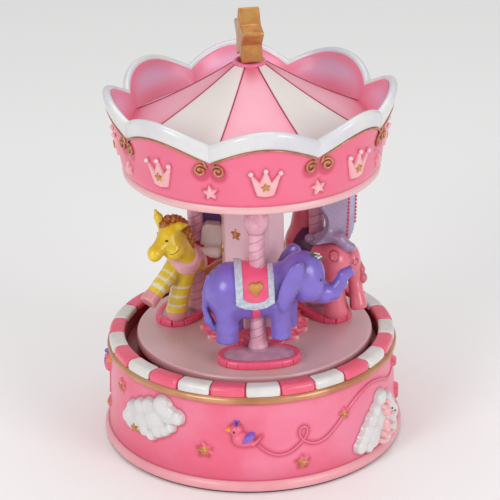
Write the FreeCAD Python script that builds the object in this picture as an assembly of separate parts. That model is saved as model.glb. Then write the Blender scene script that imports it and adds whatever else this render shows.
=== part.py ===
import FreeCAD, Part
import math
import os

os.makedirs("parts", exist_ok=True)
V = FreeCAD.Vector

# Carousel music box, in millimetres. The base rests on z = 0 with its centre at the origin, +Z is up
# and the front is -Y. Everything above the base turns about the spindle, which stands a little to +X.

spindle_x = 1.2

# base casting
foot_radius = 60.0
felt_top = 0.8
bead_top = 8.5
wall_low_radius = 57.6
wall_top_radius = 56.4
band_low = 36.9
band_top = 39.8
rim_top = 43.7
rim_outer_radius = 56.9
well_radius = 50.5
deck_top = 36.0
deck_bottom = 33.0
deck_hole_radius = 4.5
recess_radius = 52.0
cavity_radius = 50.0
rim_blocks = 26
first_block_angle = -93.1

# plate that closes the base from below
plate_low = 11.0
plate_top = 13.0
plate_radius = 51.8
boss_circle = 46.5
boss_radius = 3.6
boss_angles = (60.0, 180.0, 300.0)
screw_radius = 1.3
screw_head_radius = 2.4
screw_head_height = 1.3

# musical movement, placed relative to the spindle
bed_top = 15.0
bed_box = (-15.0, -22.0, 40.0, 24.0)
bed_screws = ((-11.5, 19.0), (-11.5, -17.5), (33.0, -18.5))
arbor_radius = 2.0
arbor_fit = 0.05
barrel_low = 16.1
barrel_top = 21.6
barrel_radius = 12.5
barrel_wall = 1.1
crown_teeth = 40
crown_inner = 10.2
crown_outer = 12.3
crown_height = 1.05
crown_pitch_height = 0.6
pinion_teeth = 10
pinion_pitch = 11.25 * pinion_teeth / crown_teeth
note_axis_z = barrel_top + crown_pitch_height + pinion_pitch
note_radius = 6.5
note_start = 15.0
note_end = 34.2
notes = 18
pin_height = 0.45
comb_tip = 7.2
comb_root = 15.0
comb_back = 23.0
comb_thickness = 0.8
wheel_teeth = 32
idler_teeth = 16
gear_module = 0.46
idler_drop = 3.6
worm_teeth = 16
worm_wheel_pitch = 3.6
worm_pitch_radius = 1.6
worm_x = 25.0
vane_radius = 3.7

# turntable and what stands on it
table_radius = 47.0
table_low = 38.7
table_top = 43.2
spindle_radius = 3.0
spindle_top = 41.5
insert_radius = 5.0
insert_low = 36.6
pillar_radius = 12.8
skirt_radius = 21.6
skirt_petals = 16
skirt_height = 5.6
ceiling_low = 111.2
ceiling_top = 114.2
plinth_top = 46.5
plinth_half_length = 16.2
plinth_half_width = 9.3
pole_radius = 3.1

# azimuth of each figure, radius of its pole and radius of its plinth
figure_places = {
    "elephant": (-87.3, 26.6, 31.3),
    "rose_pony": (28.0, 29.0, 31.0),
    "yellow_pony": (152.7, 25.6, 31.3),
}

# canopy
canopy_turn = 7.2
valley_azimuths = (-154.5, -107.5, -61.5, -19.7, 24.0, 72.0, 118.5, 162.0)
crown_inner_radius = 45.5
roof_edge_radius = 46.1
roof_edge_z = 130.8
roof_top_radius = 6.6
roof_top_z = 153.2
roof_thickness = 2.4
valley_z = 138.1
peak_z = 145.9
star_radius = 11.9
star_thickness = 11.2
star_centre_z = 164.4


def save(shape, node):
    """Writes one node's STEP file."""
    if shape.ShapeType == "Compound" and len(shape.Solids) == 1:
        shape = shape.Solids[0]
    print(f"{node:18s} solids {len(shape.Solids):3d} volume {shape.Volume:10.1f} valid {shape.isValid()}")
    shape.exportStep(f"parts/{node}.step")


def cylinder(radius, low, high, x=0.0, y=0.0):
    return Part.makeCylinder(radius, high - low, V(x, y, low))


def rod_x(radius, start, end, y, z):
    return Part.makeCylinder(radius, end - start, V(start, y, z), V(1, 0, 0))


def block(x0, y0, z0, x1, y1, z1):
    return Part.makeBox(x1 - x0, y1 - y0, z1 - z0, V(x0, y0, z0))


def polar(radius, degrees, z=0.0):
    turn = math.radians(degrees)
    return V(radius * math.cos(turn), radius * math.sin(turn), z)


def turned(edges):
    """A solid of revolution about Z from a closed chain of edges in the XZ plane."""
    face = Part.Face(Part.Wire(edges))
    return face.revolve(V(0, 0, 0), V(0, 0, 1), 360)


def chain(points):
    """Closed chain of edges through (x, z) points. A point marked "arc" is the middle of an arc."""
    edges = []
    here = points[0]
    place = 1
    while place < len(points):
        there = points[place]
        if len(there) == 3:
            end = points[place + 1]
            arc = Part.Arc(V(here[0], 0, here[1]), V(there[0], 0, there[1]), V(end[0], 0, end[1]))
            edges.append(arc.toShape())
            here = end
            place += 2
        else:
            edges.append(Part.makeLine(V(here[0], 0, here[1]), V(there[0], 0, there[1])))
            here = there
            place += 1
    start = points[0]
    if math.hypot(here[0] - start[0], here[1] - start[1]) > 1e-6:
        edges.append(Part.makeLine(V(here[0], 0, here[1]), V(start[0], 0, start[1])))
    return edges


def prism(points, low, high):
    """Closed polygon in plan, extruded from low to high."""
    wire = Part.makePolygon([V(x, y, low) for x, y in points] + [V(points[0][0], points[0][1], low)])
    return Part.Face(wire).extrude(V(0, 0, high - low))


def gear_x(teeth, pitch_radius, start, end, y, z, phase, addendum, dedendum, tooth_share):
    """Spur gear along X. phase is the angle of one tooth in degrees from +Y towards +Z."""
    tip = pitch_radius + addendum
    root = pitch_radius - dedendum
    half_pitch_tooth = tooth_share * 180.0 / teeth
    points = []
    for tooth in range(teeth):
        middle = phase + tooth * 360.0 / teeth
        for radius, offset in ((root, -1.25), (tip, -0.6), (tip, 0.6), (root, 1.25)):
            turn = math.radians(middle + offset * half_pitch_tooth)
            points.append(V(start, y + radius * math.cos(turn), z + radius * math.sin(turn)))
    points.append(points[0])
    return Part.Face(Part.makePolygon(points)).extrude(V(end - start, 0, 0))


def on_spindle(shape):
    """Moves a shape made about the origin to the spindle."""
    moved = shape.copy()
    moved.translate(V(spindle_x, 0, 0))
    return moved


def pin_head_screw(x, y, head_low, tip):
    """Pan head screw, put in from below."""
    head = cylinder(screw_head_radius, head_low, head_low + screw_head_height, x, y)
    slot = block(x - 3, y - 0.3, head_low, x + 3, y + 0.3, head_low + 0.6)
    shank = cylinder(screw_radius, head_low + screw_head_height, tip, x, y)
    return head.cut(slot).fuse(shank).removeSplitter()


# ---- base ----

def base_shell():
    profile = [
        (59.2, felt_top), (foot_radius - 0.05, 3.2, "arc"), (57.9, bead_top), (wall_low_radius, bead_top + 0.4),
        (wall_top_radius, band_low), (57.2, 38.35, "arc"), (wall_top_radius, band_top),
        (56.6, band_top + 0.2), (rim_outer_radius, 42.0), (56.5, 43.3, "arc"), (55.2, rim_top),
        (51.4, rim_top), (50.75, 43.5, "arc"), (well_radius, 42.9), (well_radius, deck_top),
        (deck_hole_radius, deck_top), (deck_hole_radius, deck_bottom), (cavity_radius, deck_bottom),
        (cavity_radius, plate_top), (recess_radius, plate_top), (recess_radius, felt_top),
    ]
    shell = turned(chain(profile))
    shell = shell.cut(cylinder(deck_hole_radius, deck_bottom - 1, deck_top + 1, spindle_x, 0))
    for angle in boss_angles:
        spot = polar(boss_circle, angle)
        boss = cylinder(boss_radius, plate_top, deck_bottom, spot.x, spot.y)
        shell = shell.fuse(boss)
    for angle in boss_angles:
        spot = polar(boss_circle, angle)
        shell = shell.cut(cylinder(screw_radius, plate_top - 1, 24.0, spot.x, spot.y))
    grooves = []
    for number in range(rim_blocks):
        groove = block(49.0, -0.3, band_top + 0.4, 58.0, 0.3, 50.0)
        ring_cut = turned(chain([(49, 50), (49, 43.1), (56.1, 43.1), (56.1, 40.2), (58, 40.2), (58, 50)]))
        groove.rotate(V(0, 0, 0), V(0, 0, 1), first_block_angle + number * 360.0 / rim_blocks)
        grooves.append(groove.common(ring_cut))
    return shell.cut(grooves)


def felt_ring():
    return cylinder(58.4, 0.0, felt_top).cut(cylinder(53.0, -1.0, 2.0))


def bottom_plate():
    plate = cylinder(plate_radius, plate_low, plate_top)
    holes = [cylinder(3.0, 10, 14, spindle_x, 0)]
    for angle in boss_angles:
        spot = polar(boss_circle, angle)
        holes.append(cylinder(1.5, 10, 14, spot.x, spot.y))
    for x, y in bed_screws:
        holes.append(cylinder(1.5, 10, 14, spindle_x + x, y))
    return plate.cut(holes)


def plate_screws():
    screws = []
    for angle in boss_angles:
        spot = polar(boss_circle, angle)
        screws.append(pin_head_screw(spot.x, spot.y, plate_low - screw_head_height, 22.0))
    return Part.makeCompound(screws)


# ---- musical movement: fixed pieces ----

def bedplate():
    x0, y0, x1, y1 = bed_box
    bed = block(x0, y0, plate_top, x1, y1, bed_top)
    bed = bed.makeFillet(4.0, [e for e in bed.Edges if abs(e.tangentAt(e.FirstParameter).z) > 0.9])
    platform = block(note_start - 0.5, comb_root + 0.6, bed_top, note_end + 0.5, comb_back, note_axis_z - 0.4)
    inner_post = block(13.2, -3.0, bed_top, 14.4, 3.0, note_axis_z + 2.4)
    idler_y, idler_z = idler_place()
    outer_post = block(37.0, idler_y - 3.1, bed_top, 38.4, 3.0, note_axis_z + 2.4)
    idler_post = block(20.6, idler_y - 2.1, bed_top, 21.8, idler_y + 2.1, idler_z + 2.2)
    bed = bed.fuse([platform, inner_post, outer_post, idler_post]).removeSplitter()
    cuts = [
        cylinder(arbor_radius + arbor_fit, 12, 16),
        rod_x(0.85, 12, 40, 0, note_axis_z),
        rod_x(0.65, 20, 40, idler_y, idler_z),
    ]
    for x, y in bed_screws:
        cuts.append(cylinder(screw_radius, 12, 16, x, y))
    for x in (note_start + 4, note_end - 4):
        cuts.append(cylinder(screw_radius, note_axis_z - 6, note_axis_z, x, comb_back - 3.5))
    return on_spindle(bed.cut(cuts))


def movement_screws():
    screws = []
    for x, y in bed_screws:
        screws.append(pin_head_screw(spindle_x + x, y, plate_low - screw_head_height, bed_top))
    return Part.makeCompound(screws)


def comb():
    pitch = (note_end - note_start) / notes
    low = note_axis_z - 0.4
    plate = block(note_start, comb_tip, low, note_end, comb_back, low + comb_thickness)
    slots = []
    for slot in range(1, notes):
        x = note_start + slot * pitch
        slots.append(block(x - 0.13, comb_tip - 1, low - 1, x + 0.13, comb_root, low + 2))
    for x in (note_start + 4, note_end - 4):
        slots.append(cylinder(1.5, low - 1, low + 2, x, comb_back - 3.5))
    return on_spindle(plate.cut(slots))


def comb_screws():
    top = note_axis_z - 0.4 + comb_thickness
    screws = []
    for x in (note_start + 4, note_end - 4):
        head = cylinder(screw_head_radius, top, top + 1.4, x, comb_back - 3.5)
        slot = block(x - 3, comb_back - 3.8, top + 0.8, x + 3, comb_back - 3.2, top + 2)
        shank = cylinder(screw_radius, top - 5.5, top, x, comb_back - 3.5)
        screws.append(head.cut(slot).fuse(shank).removeSplitter())
    return on_spindle(Part.makeCompound(screws))


def governor_bracket():
    worm_y = worm_place()
    foot = block(22.0, -21.6, bed_top, 28.0, worm_y + 2.2, bed_top + 1.2)
    post = block(22.0, -21.6, bed_top, 28.0, -19.6, 32.6)
    arm = block(23.5, -21.6, 31.7, 26.5, worm_y + 1.5, 32.6)
    bracket = foot.fuse([post, arm]).removeSplitter()
    return on_spindle(bracket.cut(cylinder(0.5, 14, 34, worm_x, worm_y)))


def click_spring():
    clamp = block(-9.5, -7.6, bed_top, -5.4, -4.9, bed_top + 0.95)
    strip = block(-5.6, -6.3, bed_top + 0.15, 2.0, -5.7, bed_top + 0.85)
    return on_spindle(clamp.fuse(strip).removeSplitter())


# ---- musical movement: turning pieces ----

def idler_place():
    """Y and Z of the idler shaft: its pinion meshes with the cylinder's gear."""
    reach = gear_module * (wheel_teeth + idler_teeth) / 2
    return -math.sqrt(reach ** 2 - idler_drop ** 2), note_axis_z - idler_drop


def worm_place():
    return idler_place()[0] - worm_wheel_pitch - worm_pitch_radius


def drive_wheel():
    """Spring barrel, open below, with crown teeth on its top face."""
    barrel = cylinder(barrel_radius, barrel_low, barrel_top)
    barrel = barrel.cut(cylinder(barrel_radius - barrel_wall, barrel_low - 1, barrel_top - 0.8))
    teeth = []
    for number in range(crown_teeth):
        angle = number * 360.0 / crown_teeth
        wedge = Part.makePolygon([
            V(crown_inner, -0.38, barrel_top - 0.1), V(crown_inner, 0.38, barrel_top - 0.1),
            V(crown_inner, 0.22, barrel_top + crown_height), V(crown_inner, -0.22, barrel_top + crown_height),
            V(crown_inner, -0.38, barrel_top - 0.1),
        ])
        tooth = Part.Face(wedge).extrude(V(crown_outer - crown_inner, 0, 0))
        tooth.rotate(V(0, 0, 0), V(0, 0, 1), angle)
        teeth.append(tooth)
    return on_spindle(barrel.fuse(teeth))


def barrel_cover():
    return on_spindle(cylinder(barrel_radius - barrel_wall, barrel_low, barrel_low + 0.6).cut(
        cylinder(arbor_radius + 0.4, barrel_low - 1, barrel_low + 2)))


def mainspring():
    """Flat spiral ribbon, from the arbor out to the barrel's wall."""
    turns = 6
    inner, outer = 3.0, barrel_radius - barrel_wall - 0.75
    thickness = 0.55
    steps = turns * 12
    near, far = [], []
    for step in range(steps + 1):
        angle = 360.0 * turns * step / steps
        radius = inner + (outer - inner) * step / steps
        near.append(polar(radius, angle, barrel_low + 0.9))
        far.append(polar(radius + thickness, angle, barrel_low + 0.9))
    inside, outside = Part.BSplineCurve(), Part.BSplineCurve()
    inside.interpolate(near)
    outside.interpolate(far)
    ends = [Part.makeLine(near[0], far[0]), Part.makeLine(near[-1], far[-1])]
    wire = Part.Wire(Part.__sortEdges__([inside.toShape(), outside.toShape()] + ends))
    return on_spindle(Part.Face(wire).extrude(V(0, 0, 3.5)))


def spindle():
    shaft = cylinder(spindle_radius, barrel_top, spindle_top)
    collar = cylinder(spindle_radius + 0.9, deck_top - 0.9, insert_low)
    flats = [block(-5, 2.4, 23.0, 5, 5, 26.0), block(-5, -5, 23.0, 5, -2.4, 26.0)]
    return on_spindle(shaft.fuse(collar).cut(flats).removeSplitter())


def note_cylinder():
    """Brass barrel with three pins for each note."""
    drum = rod_x(note_radius, note_start, note_end, 0, note_axis_z)
    pitch = (note_end - note_start) / notes
    pins = []
    for note in range(notes):
        for strike in range(3):
            turn = math.radians(note * 137.5 + strike * 120.0)
            out = V(0, math.cos(turn), math.sin(turn))
            foot = V(note_start + (note + 0.5) * pitch, 0, note_axis_z) + out * (note_radius - 0.2)
            pins.append(Part.makeCylinder(0.2, pin_height + 0.2, foot, out))
    bore = rod_x(0.8, note_start - 1, note_end + 1, 0, note_axis_z)
    return on_spindle(drum.fuse(pins).cut(bore))


def cylinder_arbor():
    return on_spindle(rod_x(0.8, 9.4, 38.9, 0, note_axis_z))


def cylinder_pinion():
    gear = gear_x(pinion_teeth, pinion_pitch, crown_inner + 0.1, crown_outer, 0, note_axis_z,
                  -90.0 + 180.0 / pinion_teeth, 0.4, 0.62, 0.36)
    return on_spindle(gear.cut(rod_x(0.8, 5, 16, 0, note_axis_z)))


def mesh_angle():
    """Direction from the cylinder's gear to the idler, in degrees from +Y towards +Z."""
    y, z = idler_place()
    return math.degrees(math.atan2(z - note_axis_z, y))


def cylinder_gear():
    gear = gear_x(wheel_teeth, gear_module * wheel_teeth / 2, 34.9, 35.9, 0, note_axis_z,
                  mesh_angle() + 180.0 / wheel_teeth, 0.34, 0.5, 0.38)
    return on_spindle(gear.cut(rod_x(0.8, 30, 40, 0, note_axis_z)))


def idler_shaft():
    y, z = idler_place()
    return on_spindle(rod_x(0.6, 20.2, 38.9, y, z))


def idler_pinion():
    y, z = idler_place()
    gear = gear_x(idler_teeth, gear_module * idler_teeth / 2, 34.6, 36.2, y, z,
                  mesh_angle() + 180.0, 0.34, 0.5, 0.38)
    return on_spindle(gear.cut(rod_x(0.6, 30, 40, y, z)))


def worm_wheel():
    y, z = idler_place()
    gear = gear_x(worm_teeth, worm_wheel_pitch, worm_x - 0.5, worm_x + 0.5, y, z, 180.0, 0.33, 0.55, 0.30)
    return on_spindle(gear.cut(rod_x(0.6, 20, 30, y, z)))


def governor_worm():
    """Single start worm on the governor's upright shaft."""
    lead = 2 * math.pi * worm_wheel_pitch / worm_teeth
    worm_y = worm_place()
    start = idler_place()[1] + lead / 4 - 3 * lead
    helix = Part.makeHelix(lead, 5 * lead, worm_pitch_radius - 0.45)
    tooth = Part.makePolygon([
        V(1.0, 0, -0.36), V(2.0, 0, -0.16), V(2.0, 0, 0.16), V(1.0, 0, 0.36), V(1.0, 0, -0.36)])
    thread = Part.Wire(helix).makePipeShell([tooth], True, True)
    thread.translate(V(worm_x, worm_y, start))
    core = cylinder(1.15, start - 0.6, start + 5 * lead + 0.6, worm_x, worm_y)
    shaft = cylinder(0.45, bed_top + 0.4, 32.3, worm_x, worm_y)
    return on_spindle(core.fuse([thread, shaft]))


def governor_vane():
    """Air brake: two flat wings on a sleeve."""
    worm_y = worm_place()
    sleeve = cylinder(1.1, 27.0, 31.3, worm_x, worm_y)
    wings = block(worm_x - vane_radius, worm_y - 0.2, 27.6, worm_x + vane_radius, worm_y + 0.2, 31.0)
    vane = sleeve.fuse(wings).cut(cylinder(0.45, 26, 33, worm_x, worm_y))
    return on_spindle(vane.removeSplitter())


# ---- winding key ----

def winding_arbor():
    return on_spindle(cylinder(arbor_radius, 4.6, barrel_top - 1.0))


def ratchet_wheel():
    teeth = 12
    points = []
    for tooth in range(teeth):
        low = polar(4.1, tooth * 360.0 / teeth)
        high = polar(5.0, (tooth + 0.9) * 360.0 / teeth)
        points += [(low.x, low.y), (high.x, high.y)]
    wheel = prism(points, bed_top + 0.15, bed_top + 0.85)
    return on_spindle(wheel.cut(cylinder(arbor_radius, bed_top - 1, bed_top + 2)))


def winding_key():
    hub = cylinder(3.3, 3.4, 10.4)
    bridge = block(-7.4, -0.9, 3.4, 7.4, 0.9, 8.2)
    key = hub.fuse(bridge)
    for side in (-1, 1):
        lobe = Part.makeCylinder(4.3, 1.8, V(side * 7.4, -0.9, 5.6), V(0, 1, 0))
        key = key.fuse(lobe)
    for side in (-1, 1):
        eye = Part.makeCylinder(2.0, 4.0, V(side * 7.8, -2.0, 5.6), V(0, 1, 0))
        key = key.cut(eye)
    return on_spindle(key.cut(cylinder(arbor_radius, 4.6, 12)).removeSplitter())


# ---- turntable ----

def turntable():
    profile = [
        (0, table_top), (46.2, table_top), (46.8, 42.9, "arc"), (table_radius, 42.3), (table_radius, 39.3),
        (46.6, table_low), (11.0, table_low), (10.0, insert_low + 0.1), (0, insert_low + 0.1),
    ]
    disc = turned(chain(profile))
    bore = cylinder(insert_radius, insert_low - 1, spindle_top + 0.5)
    return on_spindle(disc.cut(bore))


def turntable_insert():
    """Threaded brass insert that screws onto the spindle."""
    insert = cylinder(insert_radius, insert_low, spindle_top + 0.5)
    return on_spindle(insert.cut(cylinder(spindle_radius, insert_low - 1, spindle_top)))


def octagon(radius, z, turn):
    points = [polar(radius, turn + 22.5 + 45.0 * side, z) for side in range(8)]
    return Part.makePolygon(points + [points[0]])


def pillar():
    wire = octagon(pillar_radius, table_top, canopy_turn)
    return on_spindle(Part.Face(wire).extrude(V(0, 0, ceiling_low - table_top)))


def petal_ring(radius, dip, z):
    """Closed scalloped outline: rounded petal tips with notches between them."""
    edges = []
    step = 360.0 / skirt_petals
    for petal in range(skirt_petals):
        start = polar(radius - dip, petal * step, z)
        tip = polar(radius, (petal + 0.5) * step, z)
        end = polar(radius - dip, (petal + 1) * step, z)
        edges.append(Part.Arc(start, tip, end).toShape())
    return Part.Wire(edges)


def petal_skirt():
    skirt = Part.makeLoft([
        petal_ring(skirt_radius - 0.5, 2.4, table_top),
        petal_ring(skirt_radius, 2.4, table_top + 1.6),
        petal_ring(pillar_radius + 0.6, 0.6, table_top + skirt_height),
    ], True, True)
    centre = Part.Face(octagon(pillar_radius, table_top - 1, canopy_turn)).extrude(V(0, 0, 10))
    return on_spindle(skirt.cut(centre))


# ---- figures ----

def place_figure(shape, azimuth, radius):
    """Local X is the way the figure faces, local Y points inwards, and its pole is at the origin."""
    placed = shape.copy()
    placed.rotate(V(0, 0, 0), V(0, 0, 1), azimuth + 90.0)
    placed.translate(polar(radius, azimuth))
    return on_spindle(placed)


def plinth():
    ellipse = Part.Ellipse(V(0, 0, table_top), plinth_half_length, plinth_half_width).toShape()
    body = Part.Face(Part.Wire([ellipse])).extrude(V(0, 0, plinth_top - table_top))
    return body.makeFillet(0.8, [e for e in body.Edges if e.BoundBox.ZMin > plinth_top - 0.1])


def pole():
    """Turned pole with a swollen capital under the canopy."""
    profile = [
        (0, plinth_top), (3.6, plinth_top), (3.35, 48.0, "arc"), (pole_radius, 50.0), (pole_radius, 94.0),
        (4.1, 95.6, "arc"), (4.7, 97.8), (4.9, 100.6, "arc"), (4.3, 103.2), (3.5, 104.2), (3.5, 107.6),
        (4.6, 109.2, "arc"), (4.8, ceiling_low), (0, ceiling_low),
    ]
    return turned(chain(profile))


def limb(start, end, first_radius, last_radius):
    """Tapered limb with flat ends."""
    a, b = V(*start), V(*end)
    return Part.makeCone(first_radius, last_radius, (b - a).Length, a, b - a)


def egg(centre, half_length, radius):
    """Egg turned about the local X direction."""
    whole = Part.Ellipse(V(0, 0, 0), half_length, radius)
    arc = Part.ArcOfEllipse(whole, 0, math.pi).toShape()
    line = Part.makeLine(V(-half_length, 0, 0), V(half_length, 0, 0))
    solid = Part.Face(Part.Wire([arc, line])).revolve(V(0, 0, 0), V(1, 0, 0), 360)
    solid.translate(V(*centre))
    return solid


def figure(body, pieces):
    """Fuses the pieces to the body and clears the pole's way through it."""
    fused = body
    for piece in pieces:
        fused = fused.fuse(piece)
    return fused.cut(cylinder(pole_radius, 40, 94).fuse(cylinder(4.9, 94, 112)))


def elephant():
    pieces = [Part.makeSphere(9.8, V(17.0, 0, 75.2))]
    pieces.append(limb((20.0, 0, 74.0), (30.5, 0, 67.4), 4.6, 3.1))
    pieces.append(limb((27.6, 0, 66.6), (34.0, 0, 72.6), 3.2, 2.8))
    pieces.append(limb((32.2, 0, 69.8), (35.4, 0, 79.4), 3.0, 2.3))
    for side in (-1, 1):
        pieces.append(cylinder(4.1, 50.0, 68.0, -12.4, side * 5.2))
        pieces.append(cylinder(4.0, 50.0, 68.0, 7.6, side * 5.2))
        pieces.append(Part.makeCylinder(6.6, 1.8, V(12.4, side * 9.0 - 0.9, 73.4), V(0, 1, 0)))
    return figure(egg((-3.2, 0, 70.6), 17.4, 10.8), pieces)


def pony_body():
    """Barrel of a pony between a round rump and a round chest."""
    rump = Part.makeSphere(9.0, V(-8.6, 0, 68.8))
    chest = Part.makeSphere(8.5, V(6.2, 0, 68.4))
    return rod_x(8.1, -8.0, 6.0, 0, 68.5).fuse(rump).fuse(chest)


def yellow_pony():
    pieces = [
        limb((5.0, 0, 69.0), (18.5, 0, 86.0), 7.0, 4.9),
        limb((13.5, 0, 87.5), (28.0, 0, 77.5), 5.6, 3.4),
        limb((9.0, -4.4, 68.0), (18.0, -4.4, 57.0), 3.8, 3.0),
        limb((9.0, 4.4, 68.0), (10.5, 4.4, 50.0), 3.8, 3.1),
        limb((-11.6, -4.4, 68.0), (-13.6, -4.4, 50.0), 3.9, 3.1),
        limb((-11.6, 4.4, 68.0), (-13.6, 4.4, 50.0), 3.9, 3.1),
        cylinder(5.4, 70.0, 78.5, -7.5, 0),
    ]
    return figure(pony_body(), pieces)


def rose_pony():
    pieces = [
        limb((5.0, 0, 69.0), (14.0, 0, 93.5), 7.2, 4.9),
        limb((10.5, 0, 92.5), (24.5, 0, 86.0), 5.2, 3.2),
        limb((9.0, -4.4, 68.0), (15.0, -4.4, 52.5), 3.8, 3.2),
        limb((9.0, 4.4, 68.0), (9.6, 4.4, 48.5), 3.8, 3.2),
        limb((-11.6, 4.7, 68.0), (-14.6, 4.7, 48.5), 4.2, 3.4),
        limb((-11.6, -4.7, 68.0), (-15.0, -4.7, 52.0), 4.2, 3.4),
        limb((-8.4, 0, 70.0), (-9.4, 0, 99.0), 5.6, 3.6),
    ]
    return figure(pony_body(), pieces)


# ---- canopy ----

def valley_cutter():
    """The space above two neighbouring scallops, as a radial prism whose cusp is over +X."""
    half = 21.6
    rise = peak_z - valley_z
    radius = (half ** 2 + rise ** 2) / (2 * rise)
    middle = half / 2
    middle_z = peak_z - radius + math.sqrt(radius ** 2 - (half - middle) ** 2)
    x, top = 40.0, peak_z + 6.0
    cusp, right, left = V(x, 0, valley_z), V(x, half, peak_z), V(x, -half, peak_z)
    edges = [
        Part.Arc(cusp, V(x, middle, middle_z), right).toShape(),
        Part.makeLine(right, V(x, half, top)),
        Part.makeLine(V(x, half, top), V(x, -half, top)),
        Part.makeLine(V(x, -half, top), left),
        Part.Arc(left, V(x, -middle, middle_z), cusp).toShape(),
    ]
    return Part.Face(Part.Wire(edges)).extrude(V(24.0, 0, 0))


def canopy_crown():
    """Flared wall of the canopy with its bead below and eight scallops on top."""
    profile = [
        (crown_inner_radius, 110.9), (48.9, 110.9), (50.0, 112.6, "arc"), (49.2, 114.3), (49.5, 114.6),
        (51.0, 123.0, "arc"), (53.2, 133.5), (54.4, 137.4), (56.3, 143.0, "arc"), (55.0, 147.0),
        (51.2, 147.0), (49.0, 137.0, "arc"), (roof_edge_radius, roof_edge_z), (roof_edge_radius, 128.2),
        (crown_inner_radius, 127.0),
    ]
    wall = turned(chain(profile))
    cutters = []
    for azimuth in valley_azimuths:
        cutter = valley_cutter()
        cutter.rotate(V(0, 0, 0), V(0, 0, 1), azimuth)
        cutters.append(cutter)
    wall = wall.cut(cutters)
    return on_spindle(wall)


def ceiling_disc():
    return on_spindle(cylinder(crown_inner_radius, ceiling_low, ceiling_top))


def tent_roof():
    """Hollow tent, a little concave, glued inside the crown."""
    profile = [
        (0, roof_top_z), (roof_top_radius, roof_top_z), (25.0, 141.6, "arc"), (roof_edge_radius, roof_edge_z),
        (roof_edge_radius, roof_edge_z - roof_thickness), (25.0, 141.6 - roof_thickness - 0.3, "arc"),
        (roof_top_radius, roof_top_z - roof_thickness), (0, roof_top_z - roof_thickness),
    ]
    return on_spindle(turned(chain(profile)))


def apex_ring():
    ring = Part.makeTorus(5.0, 1.3, V(0, 0, roof_top_z + 0.8))
    return on_spindle(ring.cut(cylinder(10, roof_top_z - 5, roof_top_z)))


def star_finial():
    """Thick five-pointed star on a short neck that stands in the ring."""
    points = []
    for corner in range(10):
        radius = star_radius if corner % 2 == 0 else star_radius * 0.52
        turn = math.radians(90.0 + 36.0 * corner)
        points.append(V(-star_thickness / 2, radius * math.cos(turn), star_centre_z + radius * math.sin(turn)))
    points.append(points[0])
    star = Part.Face(Part.makePolygon(points)).extrude(V(star_thickness, 0, 0))
    neck = cylinder(3.4, roof_top_z, star_centre_z - 5.0)
    finial = star.fuse(neck).removeSplitter()
    finial.rotate(V(0, 0, 0), V(0, 0, 1), canopy_turn)
    return on_spindle(finial)


makers = [
    base_shell, felt_ring, bottom_plate, plate_screws, bedplate, movement_screws, comb, comb_screws,
    governor_bracket, click_spring, drive_wheel, barrel_cover, mainspring, spindle, note_cylinder,
    cylinder_arbor, cylinder_pinion, cylinder_gear, idler_shaft, idler_pinion, worm_wheel, governor_worm,
    governor_vane, winding_arbor, ratchet_wheel, winding_key, turntable, turntable_insert, pillar,
    petal_skirt, canopy_crown, ceiling_disc, tent_roof, apex_ring, star_finial,
]
for maker in makers:
    save(maker(), maker.__name__)

for maker in (elephant, rose_pony, yellow_pony):
    name = maker.__name__
    azimuth, pole_circle, plinth_circle = figure_places[name]
    save(place_figure(maker(), azimuth, pole_circle), name)
    save(place_figure(pole(), azimuth, pole_circle), f"{name}_pole")
    save(place_figure(plinth(), azimuth, plinth_circle), f"{name}_plinth")
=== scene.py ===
import math

import bmesh
import bpy
import numpy as np
from mathutils import Matrix, Vector


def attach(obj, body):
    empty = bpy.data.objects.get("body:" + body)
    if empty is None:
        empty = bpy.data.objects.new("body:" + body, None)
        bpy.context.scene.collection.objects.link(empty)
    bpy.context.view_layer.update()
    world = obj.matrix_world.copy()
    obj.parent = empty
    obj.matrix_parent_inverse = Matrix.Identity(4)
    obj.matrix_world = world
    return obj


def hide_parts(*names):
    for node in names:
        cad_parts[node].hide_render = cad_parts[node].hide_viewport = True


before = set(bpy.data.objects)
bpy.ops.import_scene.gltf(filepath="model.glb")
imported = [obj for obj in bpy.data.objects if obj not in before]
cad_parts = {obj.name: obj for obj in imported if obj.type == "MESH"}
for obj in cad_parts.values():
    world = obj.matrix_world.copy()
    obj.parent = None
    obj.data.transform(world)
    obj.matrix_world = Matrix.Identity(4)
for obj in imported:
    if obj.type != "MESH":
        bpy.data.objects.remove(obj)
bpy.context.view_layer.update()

mm = 0.001
spindle = np.array([1.2, 0.0])  # the turning axis, in mm


# small helpers

def tone(red, green, blue):
    def linear(value):
        value = value / 255.0
        return value / 12.92 if value <= 0.04045 else ((value + 0.055) / 1.055) ** 2.4
    return (linear(red), linear(green), linear(blue), 1.0)


def smoothStep(low, high, value):
    share = np.clip((value - low) / (high - low), 0.0, 1.0)
    return share * share * (3 - 2 * share)


def newMesh(name, points, faces, fixNormals=True):
    # points are in mm, in the row frame
    mesh = bpy.data.meshes.new(name)
    mesh.from_pydata((np.asarray(points, float) * mm).tolist(), [], [list(map(int, face)) for face in faces])
    if fixNormals:
        work = bmesh.new()
        work.from_mesh(mesh)
        bmesh.ops.recalc_face_normals(work, faces=work.faces)
        work.to_mesh(mesh)
        work.free()
    return mesh


def addToScene(name, data):
    thing = bpy.data.objects.new(name, data)
    bpy.context.scene.collection.objects.link(thing)
    return thing


def placePiece(name, mesh, body, sharp, replaces):
    mesh.shade_smooth()
    mesh.set_sharp_from_angle(angle=math.radians(sharp))
    piece = addToScene(name, mesh)
    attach(piece, body)
    if replaces:
        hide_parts(*replaces)
    return piece


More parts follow.
